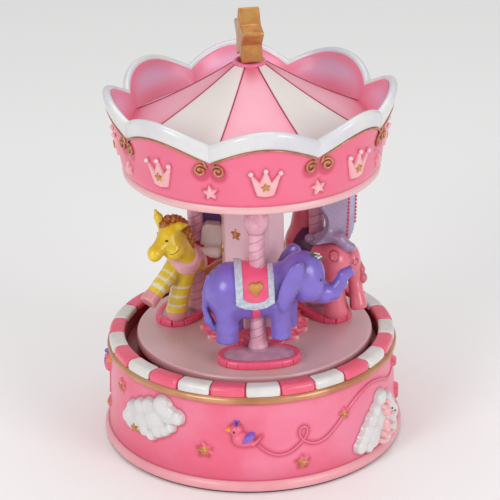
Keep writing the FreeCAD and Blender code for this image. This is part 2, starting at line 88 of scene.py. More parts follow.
def addPiece(name, points, faces, materials, body="carousel", sharp=35, faceMaterial=None, replaces=(), wash=None,
             colours=None, fixNormals=True):
    mesh = newMesh(name, points, faces, fixNormals)
    for material in materials if isinstance(materials, tuple) else (materials,):
        mesh.materials.append(finishes[material])
    if faceMaterial is not None:
        mesh.polygons.foreach_set("material_index", np.asarray(faceMaterial, dtype=np.int32))
    # per-point weight of a second colour: mostly painted shade in creases and under parts, painted sheen in the
    # crown's dishes, and the petals' white tips
    if wash is not None:
        layer = mesh.attributes.new("wash", "FLOAT", "POINT")
        layer.data.foreach_set("value", np.asarray(wash, dtype=np.float32))
    if colours is not None:
        layer = mesh.attributes.new("paint", "FLOAT_COLOR", "POINT")
        layer.data.foreach_set("color", np.asarray(colours, dtype=np.float32).ravel())
    return placePiece(name, mesh, body, sharp, replaces)


def joined(shells):
    # several (points, faces) shells as one
    points, faces, base = [], [], 0
    for shellPoints, shellFaces in shells:
        points.append(np.asarray(shellPoints, float))
        faces += [[index + base for index in face] for face in shellFaces]
        base += len(shellPoints)
    return np.vstack(points), faces


def loopFaces(rows, columns, closeRows=False, closeColumns=True, caps=False):
    faces = []
    for row in range(rows if closeRows else rows - 1):
        nextRow = (row + 1) % rows
        for column in range(columns if closeColumns else columns - 1):
            nextColumn = (column + 1) % columns
            faces.append((row * columns + column, row * columns + nextColumn,
                          nextRow * columns + nextColumn, nextRow * columns + column))
    if caps:
        faces += [tuple(range(columns)), tuple(reversed(range((rows - 1) * columns, rows * columns)))]
    return faces


def spun(turns, loops, centre=spindle):
    # loops give (radius, z) along the section, each one number or one for every turn
    points = np.zeros((len(turns), len(loops), 3))
    for place, (radius, z) in enumerate(loops):
        points[:, place, 0] = centre[0] + radius * np.cos(turns)
        points[:, place, 1] = centre[1] + radius * np.sin(turns)
        points[:, place, 2] = z
    return points.reshape(-1, 3), loopFaces(len(turns), len(loops), closeRows=True)


def turned(profile, steps, centre=(0.0, 0.0)):
    return spun(np.linspace(0, 2 * math.pi, steps, endpoint=False), profile, centre)


def arcPoints(centre, radius, start, end, count):
    turns = np.radians(np.linspace(start, end, count))
    return [(centre[0] + radius * math.cos(turn), centre[1] + radius * math.sin(turn)) for turn in turns]


def tube(path, radii, sides=10, closed=False):
    # round bar along a path, with round ends
    path = np.asarray(path, float)
    radii = np.broadcast_to(np.asarray(radii, float), (len(path),)).copy()
    if not closed:
        head, tail = path[0] - path[1], path[-1] - path[-2]
        head, tail = head / np.linalg.norm(head), tail / np.linalg.norm(tail)
        lead = [(0.95, 0.35), (0.7, 0.72), (0.38, 0.93)]
        first = [path[0] + head * radii[0] * a for a, b in lead]
        last = [path[-1] + tail * radii[-1] * a for a, b in reversed(lead)]
        radii = np.concatenate([[radii[0] * b for a, b in lead], radii, [radii[-1] * b for a, b in reversed(lead)]])
        path = np.vstack([first, path, last])
    ahead = np.roll(path, -1, 0) - np.roll(path, 1, 0)
    if not closed:
        ahead[0], ahead[-1] = path[1] - path[0], path[-1] - path[-2]
    ahead /= np.linalg.norm(ahead, axis=1)[:, None]
    side = np.cross(ahead[0], [0.0, 0.0, 1.0])
    if np.linalg.norm(side) < 1e-3:
        side = np.cross(ahead[0], [0.0, 1.0, 0.0])
    turns = np.linspace(0, 2 * math.pi, sides, endpoint=False)
    rows = []
    for here, direction, radius in zip(path, ahead, radii):
        side = side - direction * np.dot(side, direction)
        side /= np.linalg.norm(side)
        up = np.cross(direction, side)
        rows.append(here + radius * (np.cos(turns)[:, None] * side + np.sin(turns)[:, None] * up))
    return np.vstack(rows), loopFaces(len(path), sides, closeRows=closed, caps=not closed)


def ball(centre, radius, rings=8, sides=12, scale=(1, 1, 1)):
    points = [(0, 0, -1)]
    for ring in range(1, rings):
        lift, out = -math.cos(math.pi * ring / rings), math.sin(math.pi * ring / rings)
        points += [(out * math.cos(2 * math.pi * k / sides), out * math.sin(2 * math.pi * k / sides), lift)
                   for k in range(sides)]
    points.append((0, 0, 1))
    last = len(points) - 1
    faces = [(0, 1 + (k + 1) % sides, 1 + k) for k in range(sides)]
    for ring in range(rings - 2):
        low = 1 + ring * sides
        faces += [(low + k, low + (k + 1) % sides, low + sides + (k + 1) % sides, low + sides + k)
                  for k in range(sides)]
    top = 1 + (rings - 2) * sides
    faces += [(last, top + k, top + (k + 1) % sides) for k in range(sides)]
    return np.asarray(points) * radius * np.asarray(scale) + np.asarray(centre, float), faces


def smoothPath(points, count):
    # Catmull-Rom through the points
    points = np.asarray(points, float)
    padded = np.vstack([2 * points[0] - points[1], points, 2 * points[-1] - points[-2]])
    spans = len(points) - 1
    out = []
    for place in np.linspace(0, spans, count):
        span = min(int(place), spans - 1)
        t = place - span
        a, b, c, d = padded[span:span + 4]
        out.append(0.5 * (2 * b + (c - a) * t + (2 * a - 5 * b + 4 * c - d) * t * t
                          + (3 * b - 3 * c + d - a) * t ** 3))
    return np.asarray(out)


# node helpers

def newNode(tree, kind, given=None, **settings):
    # a socket in given is linked to the input, anything else becomes the input's own value
    node = tree.nodes.new(kind)
    for key, value in settings.items():
        setattr(node, key, value)
    for key, value in (given or {}).items():
        if isinstance(value, bpy.types.NodeSocket):
            tree.links.new(value, node.inputs[key])
        else:
            node.inputs[key].default_value = value
    return node


def calculate(tree, operation, *values):
    return newNode(tree, "ShaderNodeMath", dict(enumerate(values)), operation=operation).outputs[0]


def newGroup(name, kind, takes, gives):
    tree = bpy.data.node_groups.new(name, kind)
    for direction, sockets in (("INPUT", takes), ("OUTPUT", gives)):
        for label, socket in sockets.items():
            tree.interface.new_socket(label, in_out=direction, socket_type="NodeSocket" + socket)
    return tree, newNode(tree, "NodeGroupInput").outputs


def makeHandPaint():
    # brushed-on colour that drifts between two tones, with a fine grain
    tree, take = newGroup("handPaint", "ShaderNodeTree", {
        "Vector": "Vector", "Colour": "Color", "Shade": "Color", "Patch Scale": "Float", "Patch Amount": "Float",
        "Grain Scale": "Float", "Grain Amount": "Float", "Rough Low": "Float", "Rough High": "Float"},
        {"Colour": "Color", "Roughness": "Float", "Height": "Float"})
    patch = newNode(tree, "ShaderNodeTexNoise", {"Vector": take["Vector"], "Scale": take["Patch Scale"],
                                                 "Detail": 4.0}).outputs["Fac"]
    spread = newNode(tree, "ShaderNodeMapRange", {"Value": patch, "From Min": 0.36, "From Max": 0.66},
                     interpolation_type="SMOOTHSTEP")
    amount = calculate(tree, "MULTIPLY", spread.outputs["Result"], take["Patch Amount"])
    blend = newNode(tree, "ShaderNodeMix", {"Factor": amount, "A": take["Colour"], "B": take["Shade"]},
                    data_type="RGBA")
    grain = newNode(tree, "ShaderNodeTexNoise", {"Vector": take["Vector"], "Scale": take["Grain Scale"],
                                                 "Detail": 2.0}).outputs["Fac"]
    centred = calculate(tree, "SUBTRACT", grain, 0.5)
    speck = calculate(tree, "MULTIPLY_ADD", centred, take["Grain Amount"], 1.0)
    tinted = newNode(tree, "ShaderNodeVectorMath", {0: blend.outputs["Result"], "Scale": speck}, operation="SCALE")
    rough = newNode(tree, "ShaderNodeMapRange", {"Value": patch, "To Min": take["Rough Low"],
                                                 "To Max": take["Rough High"]})
    newNode(tree, "NodeGroupOutput", {"Colour": tinted.outputs["Vector"], "Roughness": rough.outputs["Result"],
                                      "Height": calculate(tree, "MULTIPLY_ADD", grain, 0.35, patch)})
    return tree


def makeMetalGrain():
    # fine tool marks drawn out along one direction
    tree, take = newGroup("metalGrain", "ShaderNodeTree", {
        "Vector": "Vector", "Colour": "Color", "Tarnish": "Color", "Stretch": "Vector", "Roughness": "Float"},
        {"Colour": "Color", "Roughness": "Float", "Height": "Float"})
    drawn = newNode(tree, "ShaderNodeVectorMath", {0: take["Vector"], 1: take["Stretch"]}, operation="MULTIPLY")
    marks = newNode(tree, "ShaderNodeTexNoise", {"Vector": drawn.outputs["Vector"], "Scale": 900.0,
                                                 "Detail": 3.0}).outputs["Fac"]
    stain = newNode(tree, "ShaderNodeTexNoise", {"Vector": take["Vector"], "Scale": 160.0, "Detail": 5.0})
    spread = newNode(tree, "ShaderNodeMapRange", {"Value": stain.outputs["Fac"], "From Min": 0.5, "From Max": 0.75})
    blend = newNode(tree, "ShaderNodeMix", {"Factor": spread.outputs["Result"], "A": take["Colour"],
                                            "B": take["Tarnish"]}, data_type="RGBA")
    newNode(tree, "NodeGroupOutput", {"Colour": blend.outputs["Result"], "Height": marks,
                                      "Roughness": calculate(tree, "MULTIPLY_ADD", marks, 0.25, take["Roughness"])})
    return tree


handPaint = makeHandPaint()
metalGrain = makeMetalGrain()
finishes = {}


def newFinish(name, group, values):
    material = bpy.data.materials.new(name)
    material.use_nodes = True
    tree = material.node_tree
    place = newNode(tree, "ShaderNodeTexCoord")
    grain = newNode(tree, "ShaderNodeGroup", node_tree=group)
    tree.links.new(place.outputs["Object"], grain.inputs["Vector"])
    for label, value in values.items():
        grain.inputs[label].default_value = value
    finishes[name] = material
    return tree, tree.nodes["Principled BSDF"].inputs, grain.outputs


def addRelief(tree, shader, grain, strength, depth):
    relief = newNode(tree, "ShaderNodeBump", {"Height": grain["Height"], "Strength": strength, "Distance": depth})
    tree.links.new(relief.outputs["Normal"], shader["Normal"])
    tree.links.new(grain["Roughness"], shader["Roughness"])


def paintFinish(name, colour, shade, patch=90.0, amount=0.5, grain=2600.0, grainAmount=0.10, rough=(0.32, 0.42),
                wash=None, fromAttribute=False, metal=0.0, coat=0.25, bump=0.25, sheen=None):
    tree, shader, paint = newFinish(name, handPaint, {
        "Colour": tone(*colour), "Shade": tone(*shade), "Patch Scale": patch, "Patch Amount": amount,
        "Grain Scale": grain, "Grain Amount": grainAmount, "Rough Low": rough[0], "Rough High": rough[1]})
    colourOut = paint["Colour"]
    if fromAttribute:
        brushed = newNode(tree, "ShaderNodeAttribute", attribute_name="paint").outputs["Color"]
        colourOut = newNode(tree, "ShaderNodeMix", {"Factor": 1.0, "A": brushed, "B": colourOut}, data_type="RGBA",
                            blend_type="MULTIPLY").outputs["Result"]
    # mixes in the second colour by the per-point weight: painted shade or painted sheen on most pieces, the white
    # tips on the petals
    if wash is not None:
        lightAndTintWeight = newNode(tree, "ShaderNodeAttribute", attribute_name="wash").outputs["Fac"]
        colourOut = newNode(tree, "ShaderNodeMix", {"Factor": lightAndTintWeight, "A": colourOut, "B": tone(*wash)},
                            data_type="RGBA").outputs["Result"]
    tree.links.new(colourOut, shader["Base Color"])
    addRelief(tree, shader, paint, bump, 0.00012)
    settings = {"Metallic": metal, "Coat Weight": coat, "Coat Roughness": 0.22, "Specular IOR Level": 0.5}
    if sheen:
        settings.update({"Sheen Weight": sheen[0], "Sheen Roughness": 0.4, "Sheen Tint": tone(*sheen[1])})
    for label, value in settings.items():
        shader[label].default_value = value


def metalFinish(name, colour, tarnish, stretch=(1, 1, 1), rough=0.22):
    tree, shader, grain = newFinish(name, metalGrain, {"Colour": tone(*colour), "Tarnish": tone(*tarnish),
                                                       "Stretch": stretch, "Roughness": rough})
    tree.links.new(grain["Colour"], shader["Base Color"])
    addRelief(tree, shader, grain, 0.25, 0.00005)
    shader["Metallic"].default_value = 1.0


def finishCopies(tree, points, rotation, take):
    # the piece's own mesh at every point, made real and given its material
    copies = newNode(tree, "GeometryNodeInstanceOnPoints", {"Points": points, "Instance": take["Geometry"],
                                                            "Rotation": rotation})
    real = newNode(tree, "GeometryNodeRealizeInstances", {"Geometry": copies.outputs["Instances"]})
    dressed = newNode(tree, "GeometryNodeSetMaterial", {"Geometry": real.outputs["Geometry"],
                                                        "Material": take["Material"]})
    newNode(tree, "NodeGroupOutput", {"Geometry": dressed.outputs["Geometry"]})
    return tree


def makeRoundRepeat():
    # copies turned about the vertical axis, a little unevenly
    tree, take = newGroup("roundRepeat", "GeometryNodeTree",
                          {"Geometry": "Geometry", "Count": "Int", "Start": "Float",
                          "Uneven": "Float", "Material": "Material"}, {"Geometry": "Geometry"})
    row = newNode(tree, "GeometryNodeMeshLine", {"Offset": (0, 0, 0), "Count": take["Count"]}, mode="OFFSET")
    index = newNode(tree, "GeometryNodeInputIndex").outputs[0]
    step = calculate(tree, "DIVIDE", 2 * math.pi, take["Count"])
    turn = calculate(tree, "MULTIPLY_ADD", index, step, take["Start"])
    chance = newNode(tree, "FunctionNodeRandomValue", {"Seed": 7, 3: take["Uneven"]}, data_type="FLOAT")
    spin = newNode(tree, "ShaderNodeCombineXYZ", {"Z": calculate(tree, "ADD", turn, chance.outputs[1])})
    return finishCopies(tree, row.outputs["Mesh"], spin.outputs["Vector"], take)


def makeBrickPath():
    # small bricks set along a curve, each turned to face along it
    tree, take = newGroup("brickPath", "GeometryNodeTree", {"Geometry": "Geometry", "Curve": "Object", "Count": "Int",
                          "Material": "Material"}, {"Geometry": "Geometry"})
    path = newNode(tree, "GeometryNodeObjectInfo", {"Object": take["Curve"]}, transform_space="RELATIVE")
    spots = newNode(tree, "GeometryNodeCurveToPoints", {"Curve": path.outputs["Geometry"], "Count": take["Count"]},
                    mode="COUNT")
    return finishCopies(tree, spots.outputs["Points"], spots.outputs["Rotation"], take)


roundRepeat = makeRoundRepeat()
brickPath = makeBrickPath()


def runNodes(name, pattern, tree, settings, body="carousel", sharp=35, shift=(0.0, 0.0, 0.0), replaces=()):
    # pattern is (points, faces) in mm; the tree's result becomes a plain mesh
    carrier = addToScene(name + "Pattern", newMesh(name + "Pattern", *pattern))
    modifier = carrier.modifiers.new("nodes", "NODES")
    modifier.node_group = tree
    for item in tree.interface.items_tree:
        if item.in_out == "INPUT" and item.name in settings:
            modifier[item.identifier] = settings[item.name]
    bpy.context.view_layer.update()
    made = bpy.data.meshes.new_from_object(carrier.evaluated_get(bpy.context.evaluated_depsgraph_get()))
    carrier.modifiers.clear()
    bpy.data.objects.remove(carrier)
    made.transform(Matrix.Translation(Vector(shift) * mm))
    made.name = name
    return placePiece(name, made, body, sharp, replaces)


def meshSpots(mesh):
    spots = np.zeros(len(mesh.vertices) * 3)
    mesh.vertices.foreach_get("co", spots)
    return spots.reshape(-1, 3) / mm


print("helpers ready")


# finishes: main colour, shade and what differs from the usual satin paint

paints = {
    # drumPink: the lighter lilac second tone is painted sheen in large patches; the deep pink (196, 40, 78) is
    # painted shade round the reliefs, along the foot and under the band
    "drumPink": ((238, 100, 132), (244, 140, 170), dict(patch=28, amount=0.75, wash=(196, 40, 78), coat=0.35,
                                                        rough=(0.28, 0.40), grainAmount=0.16)),
    "blockPink": ((240, 98, 128), (234, 84, 112), dict(patch=160, coat=0.45, rough=(0.24, 0.34))),
    "blockWhite": ((228, 226, 222), (212, 208, 204), dict(patch=120, amount=0.6, grainAmount=0.04, coat=0.5,
                                                          rough=(0.22, 0.34))),
    "groovePink": ((190, 44, 76), (160, 30, 60), dict(patch=200, coat=0.1)),
    "wellCrimson": ((150, 26, 38), (120, 18, 30), dict(patch=120, coat=0.3)),
    "beadPink": ((240, 168, 176), (232, 150, 160), dict(patch=60, wash=(176, 60, 80))),
    "reliefPink": ((240, 110, 136), (232, 84, 116), dict(patch=220)),
    "palePink": ((244, 190, 192), (236, 164, 172), dict(patch=220, coat=0.3)),
    "cloudWhite": ((228, 226, 226), (208, 206, 206), dict(patch=180, grainAmount=0.05, coat=0.5, rough=(0.22, 0.34),
                                                          wash=(205, 190, 192))),
    "goldPaint": ((206, 152, 84), (184, 118, 66), dict(patch=240, amount=0.7, metal=0.55, rough=(0.30, 0.44),
                                                       coat=0.2, grainAmount=0.2)),
    "copperPaint": ((214, 156, 116), (176, 112, 72), dict(patch=60, amount=0.8, metal=0.5, rough=(0.30, 0.42),
                                                          grainAmount=0.18)),
    "scrollCopper": ((206, 142, 104), (170, 104, 70), dict(patch=240, amount=0.7, metal=0.5, rough=(0.28, 0.4))),
    "wingPurple": ((136, 104, 206), (116, 84, 184), dict(patch=240)),
    "beakOrange": ((246, 170, 70), (236, 140, 50), dict(patch=300)),
    "eyeBlack": ((18, 14, 18), (30, 22, 28), dict(patch=400, coat=0.8, rough=(0.12, 0.2))),
    "tablePearl": ((222, 184, 190), (210, 176, 170), dict(patch=34, amount=0.9, coat=0.4, rough=(0.3, 0.42),
                                                          wash=(196, 122, 130), grainAmount=0.08)),
    "pillarPearl": ((238, 204, 212), (224, 180, 194), dict(patch=40, amount=0.7, coat=0.4, rough=(0.26, 0.38))),
    "petalRed": ((242, 104, 132), (234, 84, 112), dict(patch=260, wash=(244, 214, 216))),
    "plinthStone": ((222, 168, 188), (196, 142, 164), dict(patch=230, amount=0.8, rough=(0.36, 0.5), grainAmount=0.2,
                                                           wash=(120, 84, 106))),
    "brickPink": ((240, 92, 128), (232, 76, 112), dict(patch=240, coat=0.5, rough=(0.2, 0.3))),
    "polePink": ((232, 178, 194), (212, 150, 174), dict(patch=240, amount=0.8, wash=(150, 92, 118),
                                                        rough=(0.32, 0.44))),
    # rimPearl: the lavender-grey second tone is painted shade on the rolled rim, laid in random patches
    "rimPearl": ((228, 227, 226), (212, 210, 220), dict(patch=46, amount=0.9, grainAmount=0.03, coat=0.8,
                                                        rough=(0.18, 0.28))),
    "crownWall": ((240, 112, 144), (236, 98, 130), dict(patch=60, wash=(204, 52, 92), coat=0.35, grainAmount=0.14)),
    # bowlPink: both lilac tones are painted sheen, in patches and in the middle of each dish
    "bowlPink": ((238, 118, 146), (226, 158, 190), dict(patch=30, amount=0.3, wash=(228, 176, 208), coat=0.3,
                                                        grainAmount=0.14)),
    "ornamentPink": ((246, 184, 188), (242, 162, 170), dict(patch=240, coat=0.4, wash=(238, 130, 146))),
    "pearlBead": ((248, 206, 220), (240, 180, 200), dict(patch=300, coat=0.8, rough=(0.14, 0.22), grainAmount=0.03)),
    "canopyBead": ((238, 190, 190), (228, 170, 174), dict(patch=60, coat=0.35, wash=(170, 70, 90))),
    "roofPink": ((242, 172, 190), (238, 150, 172), dict(patch=26, amount=0.7, coat=0.4, wash=(232, 96, 124))),
    "roofWhite": ((232, 226, 222), (220, 210, 206), dict(patch=26, amount=0.7, coat=0.4, grainAmount=0.04,
                                                         wash=(236, 214, 216))),
    "seamCrimson": ((168, 48, 76), (140, 34, 60), dict(patch=200, coat=0.1)),
    "ringPink": ((238, 126, 160), (228, 98, 136), dict(patch=200, coat=0.5)),
    "feltDark": ((58, 46, 48), (40, 30, 34), dict(patch=400, grain=4200, grainAmount=0.6, rough=(0.9, 1.0), coat=0.0,
                                                  bump=0.9, sheen=(0.6, (120, 100, 104)))),
    "plateBoard": ((72, 56, 50), (58, 44, 40), dict(patch=120, rough=(0.5, 0.62), coat=0.0, grainAmount=0.2,
                                                    bump=0.5)),
    "vaneNylon": ((228, 224, 208), (214, 208, 190), dict(patch=200, rough=(0.4, 0.5))),
    "ceilingPink": ((226, 120, 142), (208, 96, 120), dict(patch=40, coat=0.2)),
    "figurePaint": ((255, 255, 255), (238, 232, 232), dict(patch=130, amount=0.8, grainAmount=0.08, coat=0.5,
                                                           fromAttribute=True, rough=(0.24, 0.36), bump=0.2)),
    "clothTrim": ((202, 210, 222), (172, 184, 202), dict(patch=700, amount=0.9, grainAmount=0.3, rough=(0.4, 0.5),
                                                         coat=0.2, bump=0.6)),
    "clothPink": ((240, 92, 132), (226, 72, 112), dict(patch=200, coat=0.4, rough=(0.26, 0.38))),
    "clothCrimson": ((190, 44, 60), (164, 30, 50), dict(patch=200, coat=0.4)),
    "hairBrown": ((255, 255, 255), (200, 180, 170), dict(patch=500, fromAttribute=True, rough=(0.4, 0.55), coat=0.2,
                                                         bump=0.5)),
    "hairLine": ((150, 92, 60), (120, 70, 46), dict(patch=300)),
    "leafGreen": ((50, 112, 62), (30, 84, 46), dict(patch=300)),
    "beadRed": ((222, 74, 96), (200, 54, 80), dict(patch=300, coat=0.4)),
}
for name, (colour, shade, settings) in paints.items():
    paintFinish(name, colour, shade, **settings)
metalFinish("brass", (214, 172, 92), (168, 124, 62), stretch=(1, 1, 0.1))
metalFinish("steel", (200, 202, 206), (150, 150, 152), stretch=(0.15, 1, 1), rough=0.2)
metalFinish("zincScrew", (196, 194, 186), (140, 138, 130), rough=0.28)
metalFinish("dieCast", (168, 166, 160), (120, 118, 112), rough=0.42)

# the working parts keep their own shapes and take a finish each
keptParts = {
    "feltDark": "felt_ring", "plateBoard": "bottom_plate", "vaneNylon": "governor_vane",
    "ceilingPink": "ceiling_disc", "zincScrew": "plate_screws movement_screws comb_screws",
    "dieCast": "bedplate governor_bracket",
    "steel": "comb click_spring mainspring ratchet_wheel winding_arbor cylinder_arbor idler_shaft governor_worm "
             "spindle",
    "brass": "note_cylinder cylinder_pinion cylinder_gear idler_pinion worm_wheel drive_wheel barrel_cover "
             "turntable_insert winding_key",
}
for finish, nodes in keptParts.items():
    for node in nodes.split():
        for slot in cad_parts[node].material_slots:
            slot.material = finishes[finish]
print("finishes ready")


# flat outlines for reliefs: each gives the distance to its edge, below zero inside

def discField(x, y, radius):
    return lambda s, z: np.hypot(s - x, z - y) - radius


def ovalField(x, y, half, tall, degrees=0.0):
    cosine, sine = math.cos(math.radians(degrees)), math.sin(math.radians(degrees))

    def field(s, z):
        a = (s - x) * cosine + (z - y) * sine
        b = -(s - x) * sine + (z - y) * cosine
        near = np.sqrt((a / half) ** 2 + (b / tall) ** 2) + 1e-9
        slope = np.sqrt((a / half ** 2) ** 2 + (b / tall ** 2) ** 2) + 1e-9
        return near * (near - 1) / slope
    return field


def polygonField(corners, grow=0.0):
    corners = np.asarray(corners, float)

    def field(s, z):
        best = np.full(np.shape(s), 1e9)
        inside = np.zeros(np.shape(s), bool)
        for (ax, ay), (bx, by) in zip(corners, np.roll(corners, -1, 0)):
            ex, ey = bx - ax, by - ay
            share = np.clip(((s - ax) * ex + (z - ay) * ey) / (ex * ex + ey * ey), 0, 1)
            best = np.minimum(best, np.hypot(s - ax - share * ex, z - ay - share * ey))
            crossing = (ay > z) != (by > z)
            with np.errstate(divide="ignore", invalid="ignore"):
                where = (bx - ax) * (z - ay) / (by - ay + 1e-12) + ax
            inside ^= crossing & (s < where)
        return np.where(inside, -best, best) - grow
    return field


def pathField(points, radius):
    points = np.asarray(points, float)
    radii = np.broadcast_to(np.asarray(radius, float), (len(points),))

    def field(s, z):
        best = np.full(np.shape(s), 1e9)
        for (ax, ay), (bx, by), ra, rb in zip(points[:-1], points[1:], radii[:-1], radii[1:]):
            ex, ey = bx - ax, by - ay
            share = np.clip(((s - ax) * ex + (z - ay) * ey) / (ex * ex + ey * ey + 1e-12), 0, 1)
            best = np.minimum(best, np.hypot(s - ax - share * ex, z - ay - share * ey) - (ra + (rb - ra) * share))
        return best
    return field


def starField(x, y, size, degrees=0.0, ratio=0.46):
    turns = np.radians(90 + degrees + 36 * np.arange(10))
    reach = np.where(np.arange(10) % 2 == 0, size - 0.25, (size - 0.25) * ratio)
    return polygonField(np.stack([x + reach * np.cos(turns), y + reach * np.sin(turns)], 1), 0.25)


def union(*fields):
    return lambda s, z: np.minimum.reduce([field(s, z) for field in fields])


def blended(soft, *fields):
    def field(s, z):
        total = sum(np.exp(-each(s, z) / soft) for each in fields)
        return -soft * np.log(total + 1e-30)
    return field


def reliefShell(field, area, height, roll, surface, step=0.35, bulge=0.0, extra=None, sink=0.5):
    # raised shape on a curved wall: rises from the wall over the roll width, closed underneath
    s = np.arange(area[0], area[1] + step, step)
    z = np.arange(area[2], area[3] + step, step)
    grid, lift = np.meshgrid(s, z, indexing="ij")
    distance = field(grid, lift)
    share = np.clip(-distance / roll, 0, 1)
    top = height * np.sqrt(np.clip(1 - (1 - share) ** 2, 0, 1)) + bulge * np.clip(-distance, 0, None)
    if extra is not None:
        top = top + extra(grid, lift) * (distance < 0)
    top = np.where(distance < 0, top, np.maximum(-distance * 1.2, -sink))
    keep = distance < step * 1.2
    cells = keep[:-1, :-1] | keep[1:, :-1] | keep[1:, 1:] | keep[:-1, 1:]
    used = np.zeros(grid.shape, bool)
    for a, b in ((0, 0), (1, 0), (1, 1), (0, 1)):
        used[a:used.shape[0] - 1 + a, b:used.shape[1] - 1 + b] |= cells
    index = -np.ones(grid.shape, int)
    index[used] = np.arange(used.sum())
    count = int(used.sum())
    upper = surface(grid[used], lift[used], top[used])
    lower = surface(grid[used], lift[used], np.full(count, -sink - 0.3))
    faces = []
    rows, columns = np.nonzero(cells)
    for i, j in zip(rows, columns):
        a, b, c, d = index[i, j], index[i + 1, j], index[i + 1, j + 1], index[i, j + 1]
        faces += [(a, b, c, d), (d + count, c + count, b + count, a + count)]
        for di, dj, p, q in ((-1, 0, d, a), (0, -1, a, b), (1, 0, b, c), (0, 1, c, d)):
            ni, nj = i + di, j + dj
            if not (0 <= ni < cells.shape[0] and 0 <= nj < cells.shape[1] and cells[ni, nj]):
                faces.append((q, p, p + count, q + count))
    return np.vstack([upper, lower]), faces


def squareArea(x, z, size, margin=0):
    return (x - size - margin, x + size + margin, z - size - margin, z + size + margin)


def spotOn(surface, s, z, height):
    # one point of a surface that takes whole arrays
    return surface(np.array([s]), np.array([z]), np.array([height]))[0]


# camera, floor and light

# each lamp has its place in m, its size and its power
studio = {"distance": 0.840, "elevation": 23.31, "aimHeight": 0.0760, "lens": 153.65, "roll": -1.10,
          "floor": (0.97, 0.97, 0.97, 1.0), "sky": (1.0, 0.995, 0.99, 1.0), "skyStrength": 0.50,
          "lamps": {"keyLeft": ((-0.70, -0.90, 0.62), 0.5, 4.4), "fillRight": ((0.80, -0.80, 0.52), 0.5, 4.2),
                    "topSoft": ((0.0, 0.15, 1.25), 0.8, 3.4)}, "lampAim": (0, 0, 0.08)}


def makeStudio():
    lift = math.radians(studio["elevation"])
    camera = addToScene("camera", bpy.data.cameras.new("camera"))
    back = Vector((0, -math.cos(lift), math.sin(lift)))
    camera.location = Vector((0, 0, studio["aimHeight"])) + back * studio["distance"]
    facing = (-back).to_track_quat("-Z", "Y").to_matrix().to_4x4()
    camera.rotation_euler = (facing @ Matrix.Rotation(math.radians(studio["roll"]), 4, "Z")).to_euler()
    camera.data.lens = studio["lens"]
    camera.data.sensor_width = 36.0
    camera.data.clip_start = 0.01
    bpy.context.scene.camera = camera
    bpy.context.scene.view_settings.view_transform = "Standard"
    floor = bpy.data.meshes.new("floor")
    floor.from_pydata([(-6, -6, 0), (6, -6, 0), (6, 6, 0), (-6, 6, 0)], [], [(0, 1, 2, 3)])
    pale = bpy.data.materials.new("floorPaper")
    pale.use_nodes = True
    paper = pale.node_tree.nodes["Principled BSDF"].inputs
    paper["Base Color"].default_value = studio["floor"]
    paper["Roughness"].default_value = 0.9
    floor.materials.append(pale)
    addToScene("floor", floor)
    world = bpy.data.worlds.new("studio")
    bpy.context.scene.world = world
    world.use_nodes = True
    sky = world.node_tree.nodes["Background"].inputs
    sky["Color"].default_value = studio["sky"]
    sky["Strength"].default_value = studio["skyStrength"]
    for name, (place, size, power) in studio["lamps"].items():
        lamp = bpy.data.lights.new(name, "AREA")
        lamp.size, lamp.energy = size, power
        holder = addToScene(name, lamp)
        holder.location = place
        holder.rotation_euler = (Vector(studio["lampAim"]) - Vector(place)).to_track_quat("-Z", "Y").to_euler()


makeStudio()
print("studio ready")


# drum base

drum = {"wallLow": 57.6, "wallTop": 56.4, "flareZ": 9.0, "lowZ": 4.95, "topZ": 36.84, "blocks": 26,
        "firstBlock": -93.1,
        "cloudHeight": 1.35, "segments": 560, "arc": 57.0, "blockArc": 54.0, "blockGap": 0.30}


def drumRadius(z):
    z = np.asarray(z, float)
    share = np.clip((z - drum["flareZ"]) / (drum["topZ"] - drum["flareZ"]), -0.1, 1)
    flare = 0.6 * np.clip((drum["flareZ"] - z) / 4.0, 0, 1.1) ** 1.5
    return drum["wallLow"] + (drum["wallTop"] - drum["wallLow"]) * share + flare


def onDrum(s, z, height):
    # s runs along the wall from the front, in mm
    turn = np.asarray(s) / drum["arc"] - math.pi / 2
    radius = drumRadius(z) + height
    return np.stack([radius * np.cos(turn), radius * np.sin(turn), np.asarray(z) + 0 * turn], 1)


around = 2 * math.pi * drum["arc"]
leftCloud = [(-53.2, 24.5, 4.3), (-48.4, 27.2, 4.2), (-43.6, 28.9, 4.4), (-37.0, 31.2, 5.0), (-34.0, 28.6, 4.6),
             (-30.4, 28.2, 3.6), (-40.5, 24.6, 6.4), (-47.5, 22.4, 5.6), (-54.0, 20.8, 5.6), (-33.4, 23.4, 2.7),
             (-36.0, 21.8, 3.2), (-39.0, 20.6, 3.6), (-42.4, 17.9, 3.0), (-46.0, 19.2, 3.8), (-50.6, 19.6, 4.0),
             (-57.2, 20.2, 3.2)]
rightCloud = [(59.2, 24.6, 4.2), (55.4, 21.0, 3.8), (52.2, 18.2, 3.8), (49.4, 15.0, 3.8), (47.0, 12.4, 3.4),
              (45.0, 9.6, 3.4), (52.6, 11.4, 6.0), (59.6, 15.8, 7.0), (65.0, 20.8, 4.6), (67.8, 15.8, 5.6),
              (72.6, 12.8, 3.8), (62.0, 9.4, 6.0), (69.6, 9.0, 4.6), (49.4, 8.6, 3.4)]
string = [(1.6, 20.2), (4.1, 17.8), (7.0, 16.0), (9.9, 15.3), (13.2, 15.8), (16.3, 17.6), (18.9, 19.9), (20.7, 22.4),
          (20.9, 24.6), (19.8, 25.7), (18.3, 25.2), (17.8, 23.4), (18.5, 21.2), (20.0, 19.6), (22.6, 18.3),
          (25.8, 18.0),
          (29.6, 19.4), (33.7, 22.6), (37.6, 26.0), (41.7, 29.4), (46.8, 32.2), (53.1, 33.6), (59.8, 32.4),
          (66.3, 29.8), (71.4, 28.8), (75.6, 30.2)]


def cloudField(discs, shift=0.0, flip=1):
    return blended(0.10, *[discField(shift + flip * x, y, r * 0.93) for x, y, r in discs])


